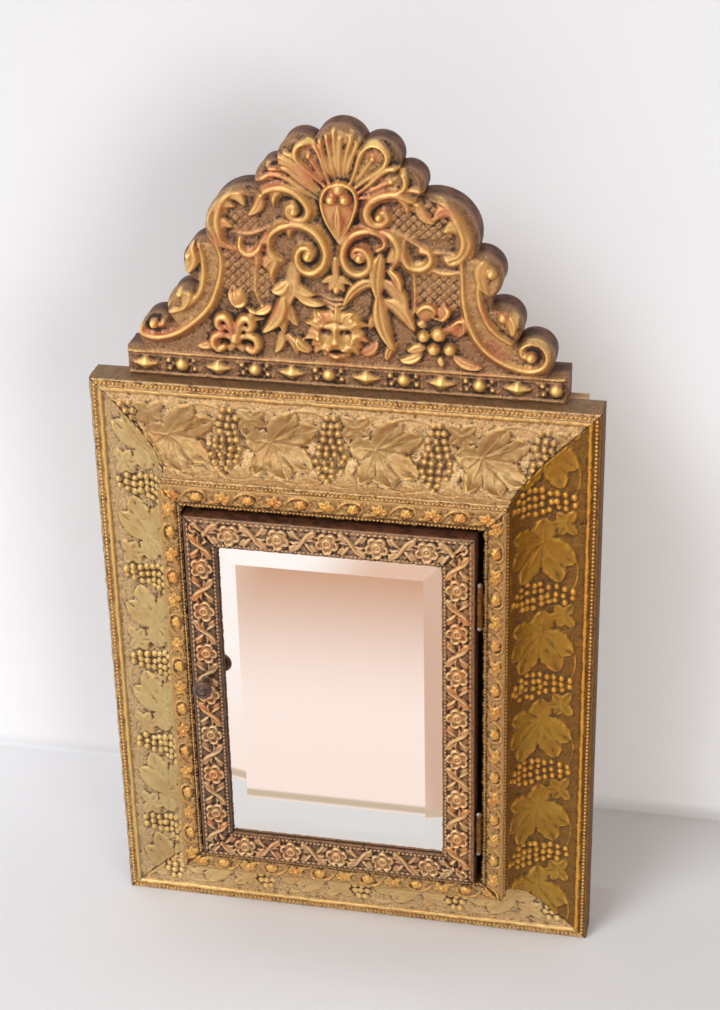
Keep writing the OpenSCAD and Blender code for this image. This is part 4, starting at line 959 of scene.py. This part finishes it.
def bead_row(name, place, u, w, pitch, half_len, half_wide, rise, wall=False):
    """A row of beads all round a frame, on its face or on the wall of its opening."""
    shape, quads = ellipsoid()
    rows, faces = [], []
    total = 0
    for side in SIDES:
        count = int((bar_length(side, place) - 2 * u - pitch) / pitch)
        for k in range(count + 1):
            s = (k - count / 2) * pitch
            grow = random.uniform(0.94, 1.06)
            wide, high = shape[:, 1] * half_wide * grow, shape[:, 2] * rise
            pu, pw = (u - high, w + wide) if wall else (u + wide, w + high)
            rows.append(on_bar(side, place, s + shape[:, 0] * half_len * grow, pu, pw))
            faces.append(quads + total)
            total += len(shape)
    # The beads' crowns are lighter than their feet: wear and painted highlight.
    high = np.tile(shape[:, 2], len(rows))
    return make_mesh(name, np.vstack(rows), np.vstack(faces), fields={
        "cavity": 0.4 * high + 0.12, "height": 1 + 0 * high})


def keep(piece, material, body, slot, *nodes):
    piece.data.materials.append(material)
    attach(piece, body)
    if nodes:
        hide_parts(*nodes)


# Furrows beside the beads and rolls, as distance in and height, darkened by dirt and painted shade
RIM_FOLDS = ((1.7, RIM_T), (4.7, RIM_T), (8.6, RIM_T), (PANEL_W, COVE_W - 0.3), (PANEL_W, COVE_W + 2.3),
             (PANEL_W, 50.2))
STRIP_FOLDS = ((PANEL_W, STRIP_FOOT), (61, WALL_TOP), (63.2, WALL_TOP - 0.4))
DOOR_FOLDS = ((1.2, DOOR_TOP_W), (4, DOOR_TOP_W), (16.8, DOOR_TOP_W), (19.2, DOOR_TOP_W))

# Rows of beads: distance in, height, pitch, half length, half width, rise, and whether on a wall
FRAME_BEADS = {
    "rim_beads": (BEAD_U, RIM_T - 0.25, 2.66, 1.2, BEAD_R, 1.45),
    "wall_beads": (PANEL_W, 51.3, 2.5, 1.05, 1.0, 1.1, True),
    "border_beads": (INNER_BEAD_U, WALL_TOP - 0.1, 2.3, 1.0, 0.8, 1.0),
}
DOOR_BEADS = {
    "door_beads": (DOOR_BEAD_U, DOOR_TOP_W - 0.1, 3.4, 1.35, 0.85, 0.8),
    "sight_beads": (DOOR_INNER_U, DOOR_TOP_W - 0.1, 2.6, 1.0, 0.8, 0.8),
}


def frame_pieces(brass, border_brass, gilt):
    vine = vine_relief()
    border = border_relief()
    for side in SIDES:
        wrap = side != "bottom"
        front = cover_front(wrap)
        cover = bar("panel_" + side, side, FRAME, front, cover_back(wrap), vine,
                    arc_length(front, VINE_START_U), RIM_FOLDS, wall=0.75, roll=1.0)
        keep(cover, brass[side], "cabinet", "pressed_brass", "frame_cover_" + side)
        front = strip_front()
        strip = bar("border_" + side, side, FRAME, front, strip_back(), border, front[:, 0],
                    STRIP_FOLDS, wave=0.1, step=0.62)
        keep(strip, border_brass, "cabinet", "pressed_brass", "border_strip_" + side)
    for name, row in FRAME_BEADS.items():
        keep(bead_row(name, FRAME, *row), gilt, "cabinet", "pressed_brass")


def door_pieces(brass):
    relief = door_relief()
    for side in SIDES:
        front = door_front()
        cover = bar("door_face_" + side, side, DOOR, front, door_back(), relief, front[:, 0],
                    DOOR_FOLDS, wave=0.08, step=0.56, wall=1.0)
        keep(cover, brass[side], "door", "door_brass", "door_cover_" + side)
    for name, row in DOOR_BEADS.items():
        keep(bead_row(name, DOOR, *row), brass["top"], "door", "door_brass")


def crest_piece(brass):
    """The crest's cover: a relief cut to the scalloped outline, with its side wall."""
    relief = crest_relief()
    step = CREST_STEP
    half_w = CREST_HI[0]
    x = np.arange(-half_w - step, half_w + 2 * step, step)
    y = np.arange(-step, CREST_HI[2] - FRAME_H + 2 * step, step)
    X, Y = np.meshgrid(x, y)
    deep = crest_depth(X, Y)
    centre = crest_depth(X[:-1, :-1] + step / 2, Y[:-1, :-1] + step / 2) > 0
    corners = np.zeros(X.shape, int)
    for di in (0, 1):
        for dj in (0, 1):
            corners[di:di + centre.shape[0], dj:dj + centre.shape[1]] += centre
    used = corners > 0
    edge = used & (corners < 4)
    slope_y, slope_x = np.gradient(deep, step)
    length = np.maximum(np.hypot(slope_x, slope_y), 1e-6)
    for _ in range(3):
        move = np.where(edge, crest_depth(X, Y), 0)
        X, Y = X - move * slope_x / length, Y - move * slope_y / length
    deep = np.clip(crest_depth(X, Y), 0, None)
    bend = CREST_EDGE_R
    fall = bend - np.sqrt(np.clip(bend**2 - np.clip(bend - deep, 0, bend) ** 2, 0, None))
    h = relief.sample(relief.h, X, Y) * ease(deep, 0, 1.8) - fall
    h += waves(X, Y, 0.3) * ease(deep, 1, 8)
    cavity = relief.sample(relief.cavity, X, Y)
    number = np.full(X.shape, -1)
    number[used] = np.arange(used.sum())
    cells = np.argwhere(centre)
    i, j = cells[:, 0], cells[:, 1]
    quads = np.stack([number[i, j], number[i, j + 1], number[i + 1, j + 1], number[i + 1, j]], 1)
    face_y = CREST_BACK_Y - CREST_T
    points = np.stack([X[used], face_y - h[used], FRAME_H + Y[used]], axis=1)
    wall, wall_quads, cap = crest_wall(points, boundary_loop(quads))
    points = np.vstack([points, wall])
    fields = {key: np.r_[field[used], np.full(len(wall), -0.05)]
              for key, field in (("cavity", cavity), ("height", h))}
    # The crest's side wall takes the dark brown side colour: tarnish and painted shade.
    fields["edge"] = ease((points[:, 1] - face_y) / CREST_T, 0.18, 0.55)
    crest = make_mesh("crest_face", points, np.vstack([quads, wall_quads]), [cap], fields)
    keep(crest, brass, "cabinet", "pressed_brass", "crest_cover")


def boundary_loop(quads):
    """The outer edge of a sheet of quads, as one closed loop of points."""
    after = {}
    seen = set()
    edges = np.stack([quads, np.roll(quads, -1, axis=1)], axis=-1).reshape(-1, 2)
    for a, b in edges.tolist():
        seen.add((a, b))
    for a, b in seen:
        if (b, a) not in seen:
            after[a] = b
    first = next(iter(after))
    loop, here = [first], after[first]
    while here != first:
        loop.append(here)
        here = after[here]
    return np.array(loop)


def crest_wall(points, loop):
    """The wall behind the crest's edge, folded in behind and closed."""
    edge = points[loop]
    way = np.roll(edge, -1, axis=0) - np.roll(edge, 1, axis=0)
    out = np.stack([way[:, 2], 0 * way[:, 0], -way[:, 0]], axis=1)
    out /= np.linalg.norm(out, axis=1)[:, None] + 1e-9
    run = np.cumsum(np.linalg.norm(way, axis=1)) / 2
    rows = []
    for f in np.linspace(0, 1, 9)[1:]:
        row = edge.copy()
        row[:, 1] = edge[:, 1] + f * (CREST_BACK_Y - edge[:, 1])
        dents = 0.3 * np.sin(run / 5.3 + 4 * f) + 0.22 * np.sin(run / 1.9 - 2 * f)
        row += out * (dents * np.sin(math.pi * f))[:, None]
        rows.append(row)
    lip = rows[-1] - out * SHEET
    inner = lip.copy()
    inner[:, 1] -= 1.5
    rows += [lip, inner]
    n = len(loop)
    start = len(points)
    index = np.vstack([loop] + [start + k * n + np.arange(n) for k in range(len(rows))])
    right = np.roll(index, -1, axis=1)
    quads = np.stack([index[:-1], index[1:], right[1:], right[:-1]], axis=-1).reshape(-1, 4)
    return np.vstack(rows), quads, index[-1][::-1].tolist()


# Materials


def linear(colour):
    """The shader's linear values of a colour given from 0 to 255."""
    shares = [c / 255 for c in colour]
    return [c / 12.92 if c <= 0.04045 else ((c + 0.055) / 1.055) ** 2.4 for c in shares] + [1.0]


def shade(colour, red, green, blue):
    """A colour with its linear values made smaller."""
    return [c * f for c, f in zip(linear(colour), (red, green, blue, 1.0))]


class Graph:
    """Short calls that add nodes to the tree of a material or of the world."""

    def __init__(self, tree):
        self.tree = tree

    def put(self, socket, value):
        if isinstance(value, bpy.types.NodeSocket):
            self.tree.links.new(value, socket)
        else:
            socket.default_value = value

    def add(self, kind, settings=None, **inputs):
        node = self.tree.nodes.new("ShaderNode" + kind)
        for key, value in (settings or {}).items():
            setattr(node, key, value)
        for key, value in inputs.items():
            self.put(node.inputs[key.replace("_", " ")], value)
        return node

    def calc(self, operation, a, b=0.0):
        node = self.add("Math", {"operation": operation})
        self.put(node.inputs[0], a)
        self.put(node.inputs[1], b)
        return node.outputs[0]

    def plus(self, a, b):
        return self.calc("ADD", a, b)

    def times(self, a, b):
        return self.calc("MULTIPLY", a, b)

    def swing(self, value, size=1.0):
        """A 0 to 1 value turned into one that swings round zero."""
        return self.times(self.calc("SUBTRACT", value, 0.5), size)

    def between(self, value, low, high, start=0.0, end=1.0):
        """A soft step of a value from low to high, as a number from start to end."""
        return self.add("MapRange", {"interpolation_type": "SMOOTHSTEP"}, Value=value, From_Min=low,
                        From_Max=high, To_Min=start, To_Max=end).outputs[0]

    def layers(self, colour, *layers):
        """A colour with others laid over it, each by a factor. A tuple is a 0 to 255 colour."""
        for factor, over in layers:
            node = self.add("Mix", {"data_type": "RGBA"})
            for index, value in ((0, factor), (6, colour), (7, over)):
                self.put(node.inputs[index], linear(value) if isinstance(value, tuple) else value)
            colour = node.outputs[2]
        return colour


class Paint(Graph):
    """A material with its shader and the coordinates that its textures use."""

    def __init__(self, name, source="TexCoord", output="Object"):
        self.material = bpy.data.materials.new(name)
        self.material.use_nodes = True
        super().__init__(self.material.node_tree)
        self.source = self.add(source).outputs
        self.where = self.source[output]

    def noise(self, scale, detail=3.0, rough=0.55, stretch=None):
        where = self.where
        if stretch:
            where = self.add("Mapping", Vector=where, Scale=stretch).outputs[0]
        return self.add("TexNoise", Vector=where, Scale=scale, Detail=detail,
                        Roughness=rough).outputs["Fac"]

    def fill(self, bump=None, **inputs):
        """Sets inputs of the shader, and its bump from a height, a strength and a distance."""
        shader = self.tree.nodes["Principled BSDF"]
        if bump:
            height, strength, distance = bump
            dents = self.add("Bump", Height=height, Strength=strength, Distance=distance)
            inputs["Normal"] = dents.outputs[0]
        for key, value in inputs.items():
            self.put(shader.inputs[key.replace("_", " ")], value)
        return self.material


# Browns of the sides of the bars and of the crest: tarnish, with painted shade that darkens these sides
EDGE_TARNISH_AND_SHADE = ((112, 68, 45), (68, 45, 34))


def brass(name, gold, copper, ground, dark, bright, rough=0.42, patina_and_shade_level=0.0, full_height=0.8):
    """Old pressed brass: bright on the high spots as wear and painted highlight, duller on the ground, dark
    in the hollows as patina and painted shade.
    """
    g = Paint(name)
    cavity, height, edge = (g.add("Attribute", {"attribute_name": key}).outputs["Fac"]
                            for key in ("cavity", "height", "edge"))
    fine = g.noise(700, 5, 0.7)
    cloud = g.noise(150, 4)
    level = g.plus(cavity, g.plus(g.swing(fine), g.swing(cloud, 0.6)))
    # Painted shade with patina: the hollows and the ground beside raised forms go dark.
    patina_and_shade = g.between(level, patina_and_shade_level, patina_and_shade_level - 0.55)
    raised = g.between(height, 0.1, full_height)
    metal_colour = g.layers(gold, (g.between(g.noise(42, 4), 0.46, 0.62), copper))
    rough_ground = g.layers(shade(ground, 0.62, 0.62, 0.62), (g.between(fine, 0.35, 0.65), ground))
    # The sides' dark brown is tarnish and painted shade, and the sides also shine less.
    side = g.layers(EDGE_TARNISH_AND_SHADE[0], (g.between(cloud, 0.4, 0.62), EDGE_TARNISH_AND_SHADE[1]))
    # The bright colour on the high spots is wear and painted highlight. The dark one in the hollows is patina
    # and painted shade.
    colour = g.layers(rough_ground, (raised, metal_colour), (edge, side),
                      (g.between(level, 0.2, 0.9), bright), (patina_and_shade, dark))
    shine = g.calc("SUBTRACT", 1.0, g.times(edge, 0.5))
    matt = g.plus(g.between(patina_and_shade, 0, 1, rough, rough + 0.25), g.swing(fine, 0.3))
    dents = g.plus(g.times(cloud, 5.0), g.plus(g.noise(1500, 3, 0.6), fine))
    return g.fill((dents, 0.4, 0.0003), Base_Color=colour,
                  Metallic=g.times(g.between(patina_and_shade, 0, 1, 0.86, 0.4), shine),
                  Roughness=g.plus(matt, g.between(raised, 0, 1, 0.16, 0)))


def wood(name, along, light, dark):
    """Plain sawn timber with its grain along one axis."""
    g = Paint(name)
    stretch = [60, 60, 60]
    stretch["xyz".index(along)] = 4
    rings = g.noise(1.6, 5, 0.6, stretch)
    pores = g.noise(22, 3, 0.7, stretch)
    stain = g.noise(1.3, 3, stretch=(9, 9, 9))
    colour = g.layers(light, (g.between(rings, 0.35, 0.68), dark),
                      (g.between(stain, 0.55, 0.8, 0, 0.6), shade(dark, 0.55, 0.55, 0.55)))
    return g.fill((pores, 0.3, 0.0003), Base_Color=colour,
                  Roughness=g.between(pores, 0.2, 0.8, 0.5, 0.75))


def metal(name, colour, tarnish, rough):
    """Plain worked metal with fine scratches and darker tarnish."""
    g = Paint(name)
    spots = g.noise(420, 4, 0.65)
    scratches = g.noise(1.0, 2, stretch=(900, 300, 2600))
    return g.fill((scratches, 0.2, 0.00012), Metallic=1.0,
                  Base_Color=g.layers(colour, (g.between(spots, 0.42, 0.68), tarnish)),
                  Roughness=g.between(spots, 0.3, 0.7, rough - 0.08, rough + 0.15))


def mirror_material():
    """Silvered glass, faintly clouded and spotted."""
    g = Paint("silvered_glass")
    spots = g.between(g.noise(900, 2), 0.70, 0.78, 0, 0.5)
    return g.fill(Base_Color=g.layers((246, 245, 241), (spots, (196, 178, 160))), Metallic=1.0,
                  Roughness=g.between(g.noise(60, 4), 0.35, 0.75, 0.012, 0.03))


def knob_material():
    """Turned wood, stained brown and polished, lighter where it is worn."""
    g = Paint("turned_brown")
    wear = g.noise(260, 4)
    colour = g.layers((58, 38, 30), (g.between(wear, 0.4, 0.7), (104, 70, 50)))
    return g.fill((wear, 0.2, 0.0002), Base_Color=colour, Coat_Weight=0.4, Coat_Roughness=0.25,
                  Roughness=g.between(wear, 0.3, 0.7, 0.28, 0.5))


PINE = ((186, 148, 104), (140, 100, 64))
OLD_PINE = ((150, 108, 70), (98, 64, 40))


def dress_nodes(frame_brass, door_brass):
    """Gives a material to every CAD node whose name starts with one of the words."""
    looks = [
        (wood("pine_upright", "z", *PINE), ("side_board", "back_board", "mirror_backing")),
        (wood("pine_level", "x", *PINE),
         ("top_board", "bottom_board", "crest_batten", "door_stops")),
        (wood("old_pine_upright", "z", *OLD_PINE), ("frame_stile", "door_stile", "crest_core")),
        (wood("old_pine_level", "x", *OLD_PINE), ("frame_rail", "door_rail")),
        (frame_brass, ("frame_nails", "frame_cover", "border_strip", "crest_cover")),
        (door_brass, ("door_nails", "door_cover")),
        (metal("worn_steel", (176, 170, 162), (92, 80, 70), 0.32),
         ("back_nails", "hinge_pin", "hinge_screws", "crest_screws", "glazing_sprigs",
          "hanger_screws", "latch_tongue", "latch_nut", "latch_washer")),
        (knob_material(), ("knob",)),
        (metal("hinge_brass", (150, 112, 66), (84, 58, 36), 0.4),
         ("hinge_leaf", "hanger_plate", "brush_hooks", "knob_rose")),
        (mirror_material(), ("mirror_glass",)),
    ]
    for material, words in looks:
        for name, node in frame["nodes"].items():
            if name.startswith(words):
                node.data.materials.clear()
                node.data.materials.append(material)


# Stage, light and camera

WALL_Y = 147
SWEEP_R = 3
STAGE_REACH = 2600
PAINTED_ROOM_START_Y = -202


def stage_surface():
    """Floor and wall as one pale sheet with a tight sweep between them."""
    profile = [(-STAGE_REACH, 0), (WALL_Y - SWEEP_R, 0)]
    profile += [tuple(p) for p in arc(WALL_Y - SWEEP_R, SWEEP_R, SWEEP_R, -90, 0, 0.8)]
    profile += [(WALL_Y, STAGE_REACH)]
    points = [(x, y, z) for x in (-STAGE_REACH, STAGE_REACH) for y, z in profile]
    n = len(profile)
    quads = [(k, n + k, n + k + 1, k + 1) for k in range(n - 1)]
    sheet = make_mesh("backdrop", np.array(points, float), quads)
    sheet.data.materials.append(stage_material())


def stage_material():
    """Pale paint, clear from behind so that the back of the cabinet can be seen. The floor is painted darker
    to the right and the wall darker higher up, as painted shade.
    Shiny pieces also see painted reflections: a warm room in front of the pale sheet, and tints at its sides."""
    g = Paint("pale_sheet", "NewGeometry", "Position")
    path = g.add("LightPath").outputs
    glossy = path["Is Glossy Ray"]
    x, y, z = g.add("SeparateXYZ", Vector=g.where).outputs
    start = PAINTED_ROOM_START_Y * MM
    to_seam = g.calc("ABSOLUTE", g.calc("SUBTRACT", y, start))
    # Painted reflection: the warm room, with a seam line, that shiny pieces see on the floor in front of the
    # cabinet.
    room = g.layers((253, 236, 228),
                    (g.between(y, start - 0.1, start - 0.38), (198, 148, 112)),
                    (g.between(y, start - 0.5, start - 0.7), (224, 188, 166)),
                    (g.between(x, 0.04, 0.08), (214, 180, 160)),
                    (g.between(x, -0.16, -0.26), (252, 246, 243)),
                    (g.between(to_seam, 0.002, 0.006, 1, 0), (206, 188, 164)))
    mottle = g.noise(6, 3)
    # Painted shade: the floor is darker towards the right.
    floor = g.layers((226, 226, 227), (g.between(x, -0.05, 0.42), (199, 196, 193)),
                     (g.between(mottle, 0.3, 0.7, 0, 0.06), (255, 255, 255)))
    # Painted shade: the wall is darker higher up.
    wall = g.layers((239, 238, 238), (g.between(mottle, 0.3, 0.7), (242, 241, 240)),
                    (g.between(z, 0.1, 0.75), (222, 222, 222)))
    # Shiny pieces see painted reflections: a brown tint to the right, a cool one to the left, and the room.
    colour = g.layers(floor, (g.between(z, 0.001, 0.012), wall),
                      (g.times(glossy, g.between(x, 0.2, 0.42)), (140, 106, 44)),
                      (g.times(glossy, g.between(x, -0.15, -0.4)), (240, 246, 234)),
                      (g.times(glossy, g.calc("LESS_THAN", y, start + 0.006)), room))
    material = g.fill(Base_Color=colour, Roughness=0.9, Specular_IOR_Level=0.1)
    see_through = g.add("MixShader")
    from_behind = g.times(path["Is Camera Ray"], g.source["Backfacing"])
    painted = g.tree.nodes["Principled BSDF"].outputs[0]
    for index, value in enumerate((from_behind, painted, g.add("BsdfTransparent").outputs[0])):
        g.put(see_through.inputs[index], value)
    g.put(g.tree.nodes["Material Output"].inputs["Surface"], see_through.outputs[0])
    return material


# Lamps: name, place, aim, width, watts, colour and whether metal reflects it
WINDOW_PLACE = (-2.8, -5.0, 5.8)
LAMPS = [
    ("window", WINDOW_PLACE, (0, 0, 0.22), 5.0, 222, (0.95, 0.98, 1.05), True),
    ("window_on_sheet", WINDOW_PLACE, (0, 0, 0.22), 2.8, 176, (0.89, 0.96, 1.07), False),
    ("fill", (3.2, -4.2, 1.2), (0.4, 0.1, 0.5), 2.6, 104, (0.97, 0.985, 1.02), False),
]


def lights():
    for name, place, aim, width, watts, colour, in_metal in LAMPS:
        lamp = bpy.data.lights.new(name, "AREA")
        lamp.shape = "DISK"
        lamp.size = width
        lamp.energy = watts
        lamp.color = colour
        holder = bpy.data.objects.new(name, lamp)
        holder.location = place
        holder.rotation_euler = (Vector(aim) - Vector(place)).to_track_quat("-Z", "Y").to_euler()
        holder.visible_glossy = in_metal
        bpy.context.scene.collection.objects.link(holder)


# Strength of the world for the light it gives, and what is added to it in reflections
WORLD_LIGHT = 0.5
WORLD_SHINE = 0.58


def world():
    """A dim warm room, white to the camera and brighter in reflections."""
    room = bpy.data.worlds.new("room")
    bpy.context.scene.world = room
    room.use_nodes = True
    g = Graph(room.node_tree)
    x, _, z = g.add("SeparateXYZ", Vector=g.add("TexCoord").outputs["Generated"]).outputs
    path = g.add("LightPath").outputs
    glossy, seen = path["Is Glossy Ray"], path["Is Camera Ray"]
    colour = g.layers((236, 220, 206), (g.between(z, -0.1, 0.9), (246, 234, 222)),
                      (glossy, (250, 243, 232)),
                      (g.times(glossy, g.between(x, 0, 0.8)), (176, 156, 128)),
                      (seen, (255, 255, 255)))
    background = g.tree.nodes["Background"]
    g.put(background.inputs["Color"], colour)
    strength = g.plus(g.plus(WORLD_LIGHT, g.times(glossy, WORLD_SHINE)), g.times(seen, 1 - WORLD_LIGHT))
    g.put(background.inputs["Strength"], strength)


# The photograph's viewpoint, solved from the corners of the frame, the opening and the mirror
VIEW_PLACE = (0.27621, -1.19695, 0.97388)
VIEW_RIGHT = (0.97834, 0.20598, -0.02053)
VIEW_UP = (-0.08052, 0.47007, 0.87895)
VIEW_BACK = (0.19069, -0.85826, 0.47647)
LENS_MM = 82.43
SENSOR_MM = 36


def camera():
    turn = Matrix((VIEW_RIGHT, VIEW_UP, VIEW_BACK)).transposed().to_4x4()
    lens = bpy.data.cameras.new("camera")
    lens.lens = LENS_MM
    lens.sensor_width = SENSOR_MM
    holder = bpy.data.objects.new("camera", lens)
    holder.matrix_world = Matrix.Translation(VIEW_PLACE) @ turn
    bpy.context.scene.collection.objects.link(holder)
    bpy.context.scene.camera = holder


# The covers' colours differ by side, as painted light, shade and reflection for the way each side faces. Each
# side of the frame: gold, ground, bright spots.
SIDE_LIT_BRASS = {
    "top": ((176, 143, 95), (242, 206, 152), (222, 182, 116)),
    "right": ((180, 142, 60), (160, 118, 62), (240, 178, 84)),
    "bottom": ((226, 194, 136), (238, 206, 156), (250, 212, 134)),
    "left": ((204, 178, 124), (220, 190, 144), (230, 194, 116)),
}
# Each side of the door: gold, copper, ground
DOOR_BRASS = {
    "top": ((204, 168, 124), (200, 150, 108), (188, 154, 122)),
    "right": ((200, 156, 106), (204, 142, 88), (182, 140, 100)),
    "bottom": ((190, 152, 108), (186, 132, 92), (160, 124, 96)),
    "left": ((176, 140, 102), (200, 134, 82), (140, 114, 96)),
}
# One brass per side of the frame, each with its own painted light, shade and reflection.
frame_brass = {side: brass("frame_brass_" + side, gold, shade(gold, 0.9, 0.8, 0.75), ground,
                           (98, 72, 48), bright, 0.45, -0.12, 1.2)
               for side, (gold, ground, bright) in SIDE_LIT_BRASS.items()}
door_brass = {side: brass("door_brass_" + side, *colours, (58, 46, 44), (236, 200, 148),
                          0.44, -0.24, 1.4)
              for side, colours in DOOR_BRASS.items()}
gilt = brass("rim_gilt", (210, 170, 106), (200, 150, 94), (190, 148, 96), (112, 82, 54),
             (236, 198, 122), 0.4)
border_brass = brass("border_brass", (220, 168, 92), (216, 146, 82), (208, 168, 112),
                     (96, 70, 46), (242, 196, 112), patina_and_shade_level=-0.1, full_height=1.6)
crest_brass = brass("crest_brass", (216, 174, 114), (208, 141, 101), (182, 142, 106),
                    (58, 46, 42), (250, 212, 136), patina_and_shade_level=-0.1, full_height=3.4)

frame_pieces(frame_brass, border_brass, gilt)
door_pieces(door_brass)
crest_piece(crest_brass)
dress_nodes(frame_brass["top"], door_brass["top"])
stage_surface()
lights()
world()
camera()

bpy.context.scene.view_settings.view_transform = "Standard"
bpy.context.view_layer.update()
